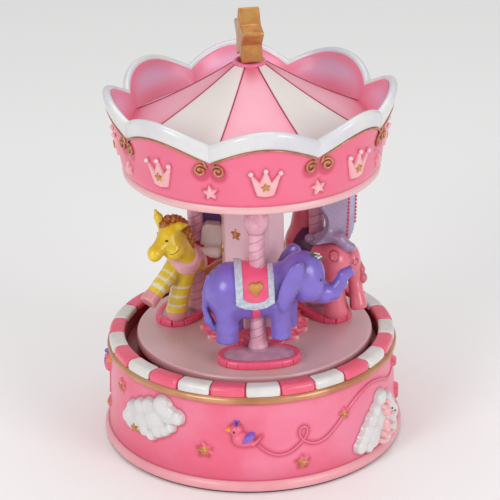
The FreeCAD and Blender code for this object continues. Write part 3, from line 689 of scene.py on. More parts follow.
def birdFields(x, y, flip=1):
    # facing left when flip is 1; x, y is the middle of the body
    body = blended(0.5, ovalField(x - flip * 0.2, y - 2.6, 3.9, 2.9, -12 * flip),
                   discField(x - flip * 2.6, y + 1.6, 2.5),
                   polygonField([(x + flip * 2.4, y - 4.2), (x + flip * 7.0, y - 1.0), (x + flip * 5.6, y - 3.2),
                                 (x + flip * 4.0, y - 4.9)], 0.3))
    # the wing and the two feathers on the head
    wing = union(ovalField(x + flip * 1.9, y - 1.5, 3.1, 1.6, 34 * flip),
                 ovalField(x - flip * 2.9, y + 4.6, 0.5, 1.1, 8 * flip),
                 ovalField(x - flip * 1.7, y + 4.5, 0.45, 0.95, -25 * flip))
    beak = polygonField([(x - flip * 4.7, y + 2.3), (x - flip * 6.6, y + 1.8), (x - flip * 4.7, y + 0.9)], 0.3)
    return body, wing, beak


def makeDrum():
    birds = [(-4.0, 24.8, 1), (-88.0, 30.6, -1), (around / 2 + 2.0, 25.0, 1)]
    # puffs, shift round the wall and flip of each cloud
    cloudLumps = [(leftCloud, 0.0, 1), (rightCloud, 0.0, 1), (leftCloud, around / 2, -1),
                  (rightCloud, -around / 2 - 20.0, 1)]
    clouds = [cloudField(*lumps) for lumps in cloudLumps]
    cloudAreas = [(-62, -25, 12, 38), (40, 78, 4.5, 31), (around / 2 + 25, around / 2 + 62, 12, 38),
                  (-around / 2 + 20, -around / 2 + 58, 4.5, 31)]
    stars = [(-19.1, 16.6, 3.1), (18.6, 10.9, 2.9), (37.6, 26.4, 2.3), (-63.6, 30.2, 2.7), (-84.6, 13.0, 2.3),
             (104.0, 27.0, 2.8), (126.0, 14.0, 2.8), (152.0, 26.0, 2.6), (-112.0, 15.0, 2.9), (-136.0, 28.5, 2.7),
             (-160.0, 13.5, 2.8), (88.0, 12.6, 2.5)]
    farString = [(around / 2 + 6 + (x - 1.6), z) for x, z in string[:20]]
    leftString = [(-85.6, 25.6), (-84.6, 23.0), (-86.4, 20.4), (-85.0, 18.0), (-86.8, 16.4), (-90.0, 17.6),
                  (-95.0, 21.6), (-101.0, 24.6), (-108.0, 22.0), (-112.0, 17.6)]
    sideStars = [(79.6, 31.4, 2.4), (84.0, 17.0, 3.0)]
    fields = clouds + [starField(x, z, r) for x, z, r in stars + sideStars]
    fields += [birdFields(*bird)[0] for bird in birds]
    fields += [pathField(np.asarray(smoothPath(path, 60)), 0.5) for path in (string, farString, leftString)]

    # casting: wall with fine rows, then the rim's core, the well, the deck and the recess
    wallZ = np.linspace(drum["lowZ"], drum["topZ"], 46)
    profile = [(float(drumRadius(z)), float(z)) for z in wallZ]
    wallRows = len(profile)
    profile += [(56.3, 39.8), (56.1, 41.6), (55.7, 42.7), (55.0, 43.2), (52.2, 43.2), (51.3, 42.9), (51.0, 42.0)]
    rimRows = len(profile)
    profile += [(50.5, 41.2), (50.5, 40.4), (50.5, 38.0), (50.5, 36.6), (50.2, 36.1), (49.6, 36.0), (30.0, 36.0),
                (6.0, 36.0), (6.0, 33.0), (50.0, 33.0), (50.0, 13.0), (52.0, 13.0), (52.0, 0.8), (56.0, 0.8),
                (57.4, 1.6), (57.6, 4.4)]
    count = drum["segments"]
    points, faces = turned(profile, count)
    rows = np.arange(len(points)) % len(profile)
    turns = np.degrees(np.arctan2(points[:, 1], points[:, 0]))
    s = np.radians((turns + 90 + 180) % 360 - 180) * drum["arc"]
    nearest = np.full(len(points), 9.0)
    onWall = rows < wallRows
    for shift in (-around, 0, around):
        for field in fields:
            nearest[onWall] = np.minimum(nearest[onWall], field(s[onWall] + shift, points[onWall, 2]))
    # painted shade: darker pink round the edge of every relief
    wash = 0.75 * np.exp(-(np.clip(nearest, 0, None) / 0.85) ** 2)
    # painted shade along the foot and under the gold band
    for strength, level, spread in ((0.9, 4.95, 0.8), (0.35, 4.95, 4.5), (0.45, 36.8, 0.8)):
        wash = np.maximum(wash, strength * np.exp(-((points[:, 2] - level) / spread) ** 2) * onWall)
    kinds = []
    for face in faces:
        row = face[0] % len(profile)
        kinds.append(0 if row < wallRows - 1 else 1 if row < rimRows - 1 else 2 if row < rimRows + 8 else 0)
    addPiece("drumCasting", points, faces, ("drumPink", "groovePink", "wellCrimson"), "base", faceMaterial=kinds,
             wash=wash, replaces=("base_shell",))

    # rolled foot bead
    beadProfile = [(56.6, 0.8), (58.9, 0.8), (59.5, 1.1), (59.9, 1.8), (60.0, 2.7), (59.85, 3.6), (59.4, 4.4),
                   (58.8, 4.95), (58.3, 5.1), (57.9, 5.0), (56.6, 5.0)]
    points, faces = turned(beadProfile, 300)
    # painted shade where the bead meets the wall and the floor
    creaseShade = np.where(points[:, 2] > 4.98, 0.7, np.where(points[:, 2] < 1.0, 0.8, 0.0))
    addPiece("footBead", points, faces, "beadPink", "base", wash=creaseShade)

    # gold band
    bandProfile = [(55.9, 36.6), (56.55, 36.7)] + arcPoints((56.0, 38.3), 1.75, -62, 62, 11) + [(56.5, 39.95),
                                                                                                (55.9, 40.0)]
    addPiece("goldBand", *turned(bandProfile, 300), "copperPaint", "base")

    # rim blocks, one pillow-edged block repeated round the rim in two colours
    width = 360.0 / drum["blocks"]
    half = math.radians(width / 2) - drum["blockGap"] / drum["blockArc"]
    ring = [(56.85, 40.1), (56.9, 41.4), (56.75, 42.4), (56.3, 43.15), (55.6, 43.6), (54.9, 43.7), (53.4, 43.72),
            (52.0, 43.7), (51.2, 43.55), (50.75, 43.1), (50.6, 42.4), (50.6, 41.0), (53.6, 40.1)]
    middle = np.array([53.7, 41.6])
    rows = []
    for inset, pull in ((0.0, 0.80), (0.10, 0.88), (0.32, 0.95), (0.7, 0.99)):
        rows.append((-half + inset / drum["blockArc"], pull))
    ends = [(-turn, pull) for turn, pull in reversed(rows)]
    rows = rows + [(turn, 1.0) for turn in np.linspace(-half + 1.5 / 54, half - 1.5 / 54, 9)] + ends
    points = []
    for turn, pull in rows:
        for radius, z in ring:
            r, h = middle + (np.array([radius, z]) - middle) * pull
            points.append((r * math.cos(turn), r * math.sin(turn), h))
    faces = loopFaces(len(rows), len(ring), caps=True)
    start = math.radians(drum["firstBlock"] + width / 2)
    for name, finish, offset in (("rimBlocksWhite", "blockWhite", 0),
                                 ("rimBlocksPink", "blockPink", math.radians(width))):
        settings = {"Count": drum["blocks"] // 2, "Start": start + offset, "Uneven": 0.006,
                    "Material": finishes[finish]}
        runNodes(name, (points, faces), roundRepeat, settings, "base", sharp=50)

    # reliefs
    shells, washes = [], []
    for field, area, (discs, shift, flip) in zip(clouds, cloudAreas, cloudLumps):
        def puffs(s, z, discs=discs, shift=shift, flip=flip):
            best = np.zeros(np.shape(s))
            for x, y, r in discs:
                away = np.hypot(s - shift - flip * x, z - y) / (r * 0.95)
                best = np.maximum(best, np.sqrt(np.clip(1 - away ** 2, 0, 1)))
            return 1.9 * best - 0.6
        shells.append(reliefShell(field, area, drum["cloudHeight"], 1.1, onDrum, 0.3, extra=puffs))
        upper = len(shells[-1][0]) // 2
        grid = shells[-1][0][:upper]
        reach = np.hypot(grid[:, 0], grid[:, 1]) - drumRadius(grid[:, 2])
        # painted shade on the low parts of each cloud, close to the wall
        washes.append(np.concatenate([1 - smoothStep(1.4, 2.6, reach), np.ones(upper)]))
    points, faces = joined(shells)
    addPiece("drumClouds", points, faces, "cloudWhite", "base", sharp=60, wash=0.8 * np.concatenate(washes))
    shells, behind = [], []
    for x, z, r in stars:
        shells.append(reliefShell(starField(x, z, r * 0.9, 6), squareArea(x, z, r, 1), 1.25, 0.9, onDrum, 0.22, 0.15))
        behind.append(reliefShell(starField(x + 0.5, z + 0.5, r * 1.12, 24), squareArea(x, z, r, 2), 0.75, 0.6,
                                  onDrum, 0.22))
    for x, z in ((-50.2, 18.4), (around / 2 + 50.0, 18.4)):
        shells.append(reliefShell(starField(x, z, 2.5, 12), squareArea(x, z, 4), 3.3, 0.7, onDrum, 0.22))
    addPiece("drumStars", *joined(shells), "goldPaint", "base", sharp=60)
    shells, wings, beaks, eyes = [], [], [], []
    for x, y, flip in birds:
        body, wing, beak = birdFields(x, y, flip)
        area = (x - 8.5, x + 8.5, y - 7.5, y + 7.5)
        shells.append(reliefShell(body, area, 1.9, 2.0, onDrum, 0.25, 0.2))
        wings.append(reliefShell(wing, area, 2.5, 0.8, onDrum, 0.22, 0.12))
        beaks.append(reliefShell(beak, area, 1.7, 0.8, onDrum, 0.2))
        eyes.append(ball(spotOn(onDrum, x - flip * 3.1, y + 1.5, 1.95), 0.62))
    for x, z, r in sideStars:
        shells.append(reliefShell(starField(x, z, r, 10), squareArea(x, z, r, 1), 1.6, 0.8, onDrum, 0.22))
    addPiece("drumBirds", *joined(shells + behind), "reliefPink", "base", sharp=60)
    addPiece("birdWings", *joined(wings), "wingPurple", "base", sharp=60)
    addPiece("birdBeaks", *joined(beaks), "beakOrange", "base", sharp=60)
    cords = []
    for path in (string, farString, leftString):
        line = smoothPath(path, 150)
        cords.append(tube(onDrum(line[:, 0], line[:, 1], np.full(len(line), 0.12)), 0.33, 8))
    addPiece("kiteStrings", *joined(cords), "drumPink", "base",
             wash=np.zeros(sum(len(points) for points, _ in cords)))

    # small bears sitting on the clouds with their legs to the right; each part has its outline, height and roll
    bears = []
    for shift in (0.0, -around / 2 - 20.0):
        x, z = 60.6 + shift, 19.0
        bear = [(discField(x, z, 2.9), 4.4, 2.4), (ovalField(x + 2.4, z - 1.7, 1.7, 1.3, -20), 5.2, 1.2),
                (discField(x - 2.3, z + 2.6, 1.3), 3.9, 0.9), (discField(x + 1.4, z + 3.2, 1.25), 3.9, 0.9),
                (ovalField(x - 0.6, z - 6.3, 2.7, 4.2, 6), 4.0, 2.2),
                (ovalField(x + 2.9, z - 6.6, 2.5, 1.0, -24), 4.4, 0.9),
                (ovalField(x - 2.6, z - 9.6, 1.5, 2.5, 24), 4.2, 1.2),
                (ovalField(x + 1.6, z - 10.0, 2.9, 1.2, -6), 4.4, 1.1),
                (discField(x - 4.4, z - 11.2, 1.3), 4.3, 1.0)]
        for field, high, roll in bear:
            bears.append(reliefShell(field, (x - 7.5, x + 7.5, z - 14, z + 6), high, roll, onDrum, 0.28))
        eyes.append(ball(spotOn(onDrum, x + 1.7, z + 0.6, 4.35), 0.42))
        eyes.append(ball(spotOn(onDrum, x + 3.7, z - 1.3, 4.6), 0.4))
    addPiece("cloudBears", *joined(bears), "palePink", "base", sharp=70)
    addPiece("reliefEyes", *joined(eyes), "eyeBlack", "base")


makeDrum()
print("drum ready")


# turntable, pillar and petals

table = {"top": 43.2, "low": 38.7, "petals": 16}


def makeTable():
    top = table["top"]
    profile = [(0.02, top), (10, top), (20, top), (30, top), (38, top), (43.0, top - 0.02), (44.6, top - 0.02),
               (45.4, top + 0.05), (46.0, top + 0.10), (46.5, top - 0.05), (46.85, top - 0.5), (47.0, top - 1.2),
               (47.0, top - 2.6), (46.8, top - 3.8), (46.2, table["low"]), (7.0, table["low"]), (6.95, 40.0),
               (0.02, 40.0)]
    points, faces = turned(profile, 260, spindle)
    # darker below the top face, down the plate's side and underside
    addPiece("turntablePlate", points, faces, "tablePearl", wash=np.where(points[:, 2] < top - 0.4, 0.75, 0.0),
             replaces=("turntable",))

    # one petal, repeated round the foot of the pillar in two rows
    shells = []
    for row, (reach, lift, wide) in enumerate(((21.6, 0.9, 4.6), (18.6, 2.9, 4.0))):
        lengths = np.linspace(0, 1, 17)
        across = np.linspace(-1, 1, 13)
        upper, lower = [], []
        for t in lengths:
            x = 10.5 + (reach - 10.5) * t
            half = (wide * (max(1 - (max(t - 0.45, 0) / 0.55) ** 2.0, 0.0)) ** 0.8 * (0.55 + 0.45 * min(t / 0.45, 1))
                    + 0.02)
            for a in across:
                rise = (lift + (3.0 - 1.2 * row) * (1 - t) ** 1.4 + 0.9 * math.sin(math.pi * t) * (1 - a * a)
                        + 0.35 * math.cos(a * 9.4) * t)
                upper.append((x, half * a, top + rise))
                lower.append((x, half * a * 0.96, top + max(rise - 0.9, -0.2)))
        size = len(lengths) * len(across)
        faces = [tuple(face) for face in loopFaces(len(lengths), len(across), closeColumns=False)]
        faces += [tuple(index + size for index in reversed(face)) for face in faces]
        edge = [k for k in range(13)] + [r * 13 + 12 for r in range(1, 17)]
        edge += [16 * 13 + k for k in range(11, -1, -1)] + [r * 13 for r in range(15, 0, -1)]
        for a, b in zip(edge, edge[1:] + edge[:1]):
            faces.append((b, a, a + size, b + size))
        points = np.array(upper + lower)
        if row:
            turn = math.pi / table["petals"]
            points[:, :2] = points[:, :2] @ np.array([[math.cos(turn), math.sin(turn)],
                                                      [-math.sin(turn), math.cos(turn)]])
        shells.append((points, faces))
    settings = {"Count": table["petals"], "Start": 0.1, "Uneven": 0.05, "Material": finishes["petalRed"]}
    whole = runNodes("petalSkirt", joined(shells), roundRepeat, settings, sharp=60, shift=(spindle[0], 0, 0),
                     replaces=("petal_skirt",))
    spots = meshSpots(whole.data)
    reach = np.hypot(spots[:, 0] - spindle[0], spots[:, 1])
    tips = np.where(spots[:, 2] < top + 2.2, smoothStep(20.8, 21.5, reach), smoothStep(18.0, 18.6, reach))
    layer = whole.data.attributes.new("wash", "FLOAT", "POINT")
    layer.data.foreach_set("value", tips.astype(np.float32))


pillar = {"corner": 12.8, "blunted": 12.72, "facing": 7.2}


def makePillar():
    # an eight-sided post with blunted corners; reach is from its axis to a flat side
    facing, halfSide = math.radians(pillar["facing"]), 22.5
    reach = pillar["corner"] * math.cos(math.radians(halfSide))
    outline = []
    for side in range(8):
        for offset in (-9.0, -4.0, 0.0, 4.0, 9.0):
            turn = math.radians(45.0 * side + halfSide + offset) + facing
            edge = min(reach / math.cos(math.radians(halfSide - abs(offset))), pillar["blunted"])
            outline.append((edge * math.cos(turn), edge * math.sin(turn)))
    outline = np.array(outline)
    levels = [(42.6, 1.0), (44.6, 1.0), (60, 1.0), (80, 0.99), (100, 0.99), (106.0, 1.0), (107.4, 1.03),
              (108.6, 1.06), (109.8, 1.03), (111.2, 1.03)]
    points = np.vstack([np.column_stack([outline * scale + spindle, np.full(len(outline), z)]) for z,
                        scale in levels])
    faces = loopFaces(len(levels), len(outline), caps=True)
    addPiece("pillarPost", points, faces, "pillarPearl", sharp=60, replaces=("pillar",))
    shells = []
    spots = {0: ((0.2, 93.0), (0.0, 77.0), (-0.3, 58.0)), 1: ((0.8, 86.8), (-1.4, 60.0))}
    for face in range(8):
        middle = math.radians(45.0 * face) + facing

        def onFace(s, z, height, middle=middle):
            out = reach + height
            return np.stack([spindle[0] + out * math.cos(middle) - s * math.sin(middle),
                             out * math.sin(middle) + s * math.cos(middle), z], 1)
        for spot, (x, z) in enumerate(spots[face % 2] if face < 7 else ((2.7, 73.8), (-1.2, 57.0))):
            if (face + spot) % 3 == 0:
                def moon(s, y, x=x, z=z):
                    return np.maximum(np.hypot(s - x, y - z) - 1.9, 1.45 - np.hypot(s - x - 0.9, y - z - 0.3))
                shells.append(reliefShell(moon, squareArea(x, z, 3), 0.7, 0.5, onFace, 0.2))
            else:
                shells.append(reliefShell(starField(x, z, 2.3), squareArea(x, z, 3.4), 0.8, 0.7, onFace, 0.2))
    addPiece("pillarStars", *joined(shells), "goldPaint", sharp=60)


makeTable()
makePillar()
print("turntable and pillar ready")


# canopy

canopy = {"valleys": (-154.5, -107.5, -61.5, -19.7, 24.0, 72.0, 118.5, 162.0), "valleyTop": 138.3, "rise": 7.0,
          "band": 7.0, "pull": 2.3, "thick": 3.3, "arc": 51.5}
valleys = np.array(canopy["valleys"])
scallops = list(zip(valleys, np.append(valleys[1:], valleys[0] + 360)))


def scallopShare(turn):
    # 0 and 1 at the valleys either side, for an azimuth in degrees
    turn = np.asarray(turn, float)
    low = np.concatenate([valleys - 360, valleys, valleys + 360])
    place = np.searchsorted(low, turn, side="right") - 1
    start, end = low[place], low[place + 1]
    return (turn - start) / (end - start)


def rimTop(turn):
    arch = np.sin(math.pi * scallopShare(turn))
    return canopy["valleyTop"] + canopy["rise"] * arch ** 1.05


def wallRadius(turn, z):
    out = np.interp(z, [110, 114.4, 117, 121, 125, 130, 134, 137, 141, 143.5, 146],
                    [49.2, 49.6, 50.4, 50.9, 51.5, 52.5, 53.4, 54.1, 55.2, 55.8, 56.1])
    tuck = (1 - np.sin(math.pi * scallopShare(turn))) ** 1.6
    return out - canopy["pull"] * tuck * smoothStep(118.0, 137.0, z)


def onCrown(middle):
    def place(s, z, height):
        turn = middle + np.degrees(np.asarray(s) / canopy["arc"])
        radius = wallRadius(turn, z) + height
        return np.stack([spindle[0] + radius * np.cos(np.radians(turn)), radius * np.sin(np.radians(turn)),
                         z + 0 * turn], 1)
    return place


def crownField(x, z):
    # three-pointed crown with a curved band below
    return polygonField([(x - 2.8, z - 5.0), (x, z - 5.5), (x + 2.8, z - 5.0), (x + 3.4, z - 3.4), (x + 5.3, z + 3.4),
                         (x + 2.1, z - 0.5), (x, z + 4.4), (x - 2.1, z - 0.5), (x - 5.3, z + 3.4),
                         (x - 3.4, z - 3.4)],
                        0.35)


def makeCanopy():
    turns = []
    for start, end in scallops:
        turns += list(start + (end - start) * (0.5 - 0.5 * np.cos(np.pi * np.linspace(0, 1, 65)[:-1])))
    turns = np.array(turns)
    crowns = [(a + b) / 2 for a, b in scallops]
    top = rimTop(turns)
    low = top - canopy["band"]
    arch = np.sin(math.pi * scallopShare(turns))

    # pink wall and dished inner faces
    outerSteps = np.linspace(0, 1, 34)
    innerSteps = np.linspace(0, 1, 22)
    loops = []
    for share in outerSteps:
        z = 114.2 + (low + 1.2 - 114.2) * share
        loops.append((wallRadius(turns, z), z))
    lip = top - 1.5
    innerEdge = wallRadius(turns, top) - canopy["thick"] + 0.1
    for share in innerSteps:
        z = lip + (130.2 - lip) * share
        dish = 1.6 * arch * np.sin(math.pi * share) ** 1.2
        loops.append((innerEdge + (46.2 - innerEdge) * (share ** 0.82) + dish, z))
    loops += [(45.6, 126.0), (45.6, 114.4)]
    size = len(loops)
    points, faces = spun(np.radians(turns), loops)
    heights = points[:, 2].reshape(len(turns), size)
    outerCount, innerCount = len(outerSteps), len(innerSteps)
    wash = np.zeros((len(turns), size))
    ornaments = [(middle, crownField(0, 124.4)) for middle in crowns]
    ornaments += [(middle, union(starField(0, 119.8, 2.9), discField(-3.3, 127.6, 2.9), discField(3.3, 127.6, 2.9)))
                  for middle in valleys]
    # painted shade on the outer wall: round the ornaments, under the rim and above the foot bead
    for place in range(outerCount):
        z = heights[:, place]
        near = np.full(len(turns), 9.0)
        for middle, field in ornaments:
            s = np.radians((turns - middle + 180) % 360 - 180) * canopy["arc"]
            near = np.minimum(near, field(s, z))
        wash[:, place] = np.maximum.reduce([0.8 * np.exp(-(np.clip(near, 0, None) / 0.8) ** 2),
                                            0.5 * np.exp(-((z - low) / 1.0) ** 2),
                                            0.5 * np.exp(-((z - 114.3) / 0.8) ** 2)])
    # painted sheen: lilac in the middle of each dished inner face
    for place, share in enumerate(innerSteps):
        deepest = np.sin(math.pi * np.clip(share * 1.15, 0, 1)) ** 1.5
        wash[:, outerCount + place] = np.clip(1.1 * arch ** 1.5 * deepest, 0, 1) * 0.85
    kinds = [1 if outerCount - 1 <= face[0] % size < outerCount + innerCount else 0 for face in faces]
    addPiece("crownWall", points, faces, ("crownWall", "bowlPink"), faceMaterial=kinds, wash=wash.ravel(),
             replaces=("canopy_crown",), sharp=50)

    # pearl rim: a rolled band that follows the scallops
    loops = [(wallRadius(turns, low) - 1.2, low + 0.5), (wallRadius(turns, low) + 0.05, low + 0.02)]
    for share, proud in ((0.04, 0.42), (0.12, 0.62), (0.25, 0.66), (0.4, 0.62), (0.55, 0.58), (0.68, 0.5)):
        z = low + (top - low) * share
        loops.append((wallRadius(turns, z) + proud, z))
    edge = wallRadius(turns, top - 1.7) + 0.45
    half = canopy["thick"] / 2
    for turn in np.radians(np.linspace(0, 180, 13)):
        loops.append((edge - half + half * math.cos(turn), top - 1.7 + 1.7 * math.sin(turn)))
    loops.append((edge - 2 * half + 0.25, top - 2.6))
    loops.append((edge - half - 0.3, top - 3.4))
    addPiece("scallopRim", *spun(np.radians(turns), loops), "rimPearl", sharp=50)

    # gold line under the rim, ending in a scroll on each side of every valley
    shells = []
    for start, end in scallops:
        line = np.linspace(start + 0.7, end - 0.7, 90)
        z = rimTop(line) - canopy["band"] - 0.35
        s = np.radians(line - start) * canopy["arc"]
        width = np.radians(end - start) * canopy["arc"]
        curls = []
        for side, tip, centre, sweep in ((1, z[0], 3.35, (100, -360)), (-1, z[-1], width - 3.35, (80, 540))):
            turn = np.radians(np.linspace(*sweep, 46)) + math.radians(60 * side)
            radius = np.linspace(2.55, 0.75, 46)
            curls.append(np.stack([centre + radius * np.cos(turn), tip - 2.7 + radius * np.sin(turn)], 1))
        path = np.vstack([curls[0][::-1], np.stack([s, z], 1)[3:-3], curls[1]])
        radii = np.concatenate([np.linspace(0.62, 0.48, 46), np.full(84, 0.36), np.linspace(0.48, 0.62, 46)])
        radii[46:60] = np.linspace(0.48, 0.36, 14)
        radii[116:130] = np.linspace(0.36, 0.48, 14)
        place = onCrown(start)
        shells.append(tube(place(path[:, 0], path[:, 1], np.full(len(path), 0.45)), radii, 8))
        for spot in (path[0], path[-1]):
            shells.append(ball(spotOn(place, *spot, 0.6), 0.85))
    addPiece("goldScrolls", *joined(shells), "scrollCopper", sharp=80)

    # crowns with pearls and stars
    plates, pearls, goldStars, pinkStars = [], [], [], []
    for middle in crowns:
        place = onCrown(middle)
        plates.append(reliefShell(crownField(0, 124.4), (-7, 7, 117.5, 131), 1.0, 0.6, place, 0.22))
        for x, z in ((-5.35, 128.4), (0.0, 129.5), (5.35, 128.4)):
            pearls.append(ball(spotOn(place, x, z, 0.8), 0.95))
        goldStars.append(reliefShell(starField(0, 122.8, 2.0, 8), (-3, 3, 120, 126), 1.7, 0.5, place, 0.18))
    for middle in valleys:
        pinkStars.append(reliefShell(starField(0, 119.8, 2.9, 10), (-4, 4, 116, 124), 1.3, 1.0, onCrown(middle), 0.22,
                                     0.1))
    addPiece("crownPlates", *joined(plates), "ornamentPink", sharp=60)
    addPiece("crownPearls", *joined(pearls), "pearlBead", sharp=80)
    addPiece("crownStars", *joined(goldStars), "goldPaint", sharp=60)
    addPiece("valleyStars", *joined(pinkStars), "ornamentPink", sharp=60)

    # bead along the canopy's foot
    profile = [(45.6, 110.9), (48.6, 110.9), (49.3, 111.15), (49.85, 111.8), (50.0, 112.6), (49.85, 113.4),
               (49.45, 114.1), (49.2, 114.5), (48.6, 115.0), (45.6, 115.0)]
    points, faces = turned(profile, 260, spindle)
    # painted shade along the bead's top, under the wall
    addPiece("canopyBead", points, faces, "canopyBead", wash=np.where(points[:, 2] > 114.3, 0.8, 0.0))

    # tent roof: eight panels, each a little hollow between its seams
    steps = 14
    roofTurns, panelOf = [], []
    for panel, (start, end) in enumerate(scallops):
        for k in range(steps):
            roofTurns.append(start + (end - start) * k / steps)
            panelOf.append(panel)
    roofTurns = np.array(roofTurns)
    radii = np.linspace(6.0, 46.4, 26)
    curve = np.polyfit([6.6, 25.0, 46.1], [153.2, 141.6, 130.8], 2)
    hollow = np.sin(math.pi * scallopShare(roofTurns + 1e-6))
    upper = [(radius, np.polyval(curve, radius) - 0.9 * hollow * smoothStep(6, 46, radius)) for radius in radii]
    lower = [(radius, z - 2.0) for radius, z in reversed(upper)]
    size = 2 * len(radii)
    points, faces = spun(np.radians(roofTurns), upper + lower)
    kinds = [0 if panelOf[face[0] // size] % 2 == 1 else 1 for face in faces]
    wash = np.zeros((len(roofTurns), size))
    # painted shade near the apex, along the edge where the roof meets the wall, and beside the seams
    for place, radius in enumerate(radii):
        wash[:, place] = np.maximum.reduce([0.75 * (1 - smoothStep(7.0, 14.0, radius)) + 0 * hollow,
                                            0.9 * smoothStep(41.0, 46.0, radius) + 0 * hollow,
                                            0.35 * (1 - hollow) ** 3])
    addPiece("tentPanels", points, faces, ("roofPink", "roofWhite"), faceMaterial=kinds, wash=wash.ravel(),
             replaces=("tent_roof",), sharp=50)
    shells = []
    for turn in np.radians(valleys):
        line = np.linspace(6.4, 46.0, 30)
        path = np.stack([spindle[0] + line * math.cos(turn), line * math.sin(turn), np.polyval(curve, line) + 0.02],
                        1)
        shells.append(tube(path, 0.28, 8))
    addPiece("roofSeams", *joined(shells), "seamCrimson", sharp=80)

    # ring at the apex
    ring = np.linspace(0, 2 * math.pi, 72, endpoint=False)
    path = np.stack([spindle[0] + 5.4 * np.cos(ring), 5.4 * np.sin(ring), np.full(72, 153.7)], 1)
    addPiece("apexRing", *tube(path, 1.05, 14, closed=True), "ringPink", sharp=80,
             replaces=("apex_ring",))
    profile = [(0.02, 152.2), (6.2, 152.2), (5.0, 153.9), (3.0, 154.3), (0.02, 154.4)]
    addPiece("apexCap", *turned(profile, 60, spindle), "seamCrimson")


def makeStar():
    size, ratio, thick, blunt = 11.9, 0.53, 8.0, 0.16
    outline = []
    for corner in range(5):
        tip = math.radians(90 + 72 * corner)
        before, after = tip - math.radians(36), tip + math.radians(36)
        tipPoint = size * np.array([math.cos(tip), math.sin(tip)])
        low = size * ratio * np.array([math.cos(before), math.sin(before)])
        high = size * ratio * np.array([math.cos(after), math.sin(after)])
        outline += [tipPoint + (low - tipPoint) * blunt, tipPoint + (high - tipPoint) * blunt, high]
    outline = np.array(outline)
    turn = math.radians(9.4)
    work = bmesh.new()
    for side in (-1, 1):
        ring = []
        for y, z in outline:
            x = side * thick / 2
            ring.append(work.verts.new((x * math.cos(turn) + y * math.sin(turn) * -1,
                                        x * math.sin(turn) + y * math.cos(turn), z)))
        work.faces.new(ring if side == 1 else list(reversed(ring)))
        if side == -1:
            first = ring
    second = ring
    for k in range(len(outline)):
        n = (k + 1) % len(outline)
        work.faces.new((first[k], first[n], second[n], second[k]))
    bmesh.ops.recalc_face_normals(work, faces=work.faces)
    bmesh.ops.bevel(work, geom=list(work.edges), offset=0.85, segments=4, profile=0.6, affect="EDGES",
                    clamp_overlap=True)
    work.verts.ensure_lookup_table()
    points = np.array([vert.co[:] for vert in work.verts]) + np.array([spindle[0], 0.0, 164.3])
    faces = [[vert.index for vert in face.verts] for face in work.faces]
    work.free()
    addPiece("starFinial", points, faces, "goldPaint", sharp=45, replaces=("star_finial",))


makeCanopy()
makeStar()
print("canopy ready")


# poles and plinths

figures = {
    "elephant": {"label": "elephant", "azimuth": -87.3, "pole": 26.6, "plinth": 31.3},
    "rose_pony": {"label": "rose", "azimuth": 28.0, "pole": 29.0, "plinth": 31.0},
    "yellow_pony": {"label": "yellow", "azimuth": 152.7, "pole": 25.6, "plinth": 31.3},
}


def standing(points, azimuth, reach):
    # from a figure's own frame (x forward, y inward) to the row frame
    turn = math.radians(azimuth + 90)
    out = np.array([spindle[0] + reach * math.cos(math.radians(azimuth)), reach * math.sin(math.radians(azimuth))])
    points = np.asarray(points, float)
    flat = points[:, :2] @ np.array([[math.cos(turn), math.sin(turn)], [-math.sin(turn), math.cos(turn)]])
    return np.column_stack([flat + out, points[:, 2]])


poles = {"starts": 2, "spacing": 3.6, "depth": 0.2, "radius": 3.15}


def makePole(name):
    place = figures[name]
    levels = np.concatenate([np.linspace(46.2, 94.5, 190), np.linspace(94.8, 111.2, 44)])
    outline = np.interp(levels, [46.2, 47.2, 48.6, 50.4, 94.0, 95.4, 97.4, 99.6, 101.6, 103.2, 104.4, 107.4, 109.2,
                                 110.4, 111.2],
                        [4.1, 3.9, 3.4, poles["radius"], poles["radius"], 3.7, 4.55, 4.85, 4.6, 4.0, 3.45, 3.45, 4.3,
                         4.7, 4.75])
    sides = 48
    turns = np.linspace(0, 2 * math.pi, sides, endpoint=False)
    points, wash = [], []
    for z, radius in zip(levels, outline):
        twist = poles["starts"] * turns - 2 * math.pi * z / poles["spacing"]
        fade = smoothStep(48.5, 51, z) * (1 - smoothStep(93.0, 95.0, z))
        groove = np.clip(np.cos(twist), 0, 1) ** 12
        r = radius - poles["depth"] * groove * fade
        points.append(np.stack([r * np.cos(turns), r * np.sin(turns), np.full(sides, z)], 1))
        # painted shade down the spiral groove, in the collar's necks and at the foot
        jointShade = sum(strength * np.exp(-((z - level) / spread) ** 2)
                   for strength, level, spread in ((0.55, 95.0, 0.5), (0.5, 104.6, 0.7), (0.6, 46.8, 0.6)))
        wash.append(np.clip(0.6 * groove * fade + jointShade, 0, 1))
    points = np.vstack(points)
    faces = loopFaces(len(levels), sides, caps=True)
    addPiece(place["label"] + "Pole", standing(points, place["azimuth"], place["pole"]), faces, "polePink", sharp=80,
             wash=np.concatenate(wash), replaces=(name + "_pole",))


plinth = {"half": 16.2, "deep": 9.3, "low": 43.2, "top": 46.3, "bricks": 17}


def ovalPoint(turn, inset=0.0):
    power = 2.0 / 2.35
    c, s = np.cos(turn), np.sin(turn)
    return np.stack([(plinth["half"] - inset) * np.sign(c) * np.abs(c) ** power,
                     (plinth["deep"] - inset) * np.sign(s) * np.abs(s) ** power], -1)


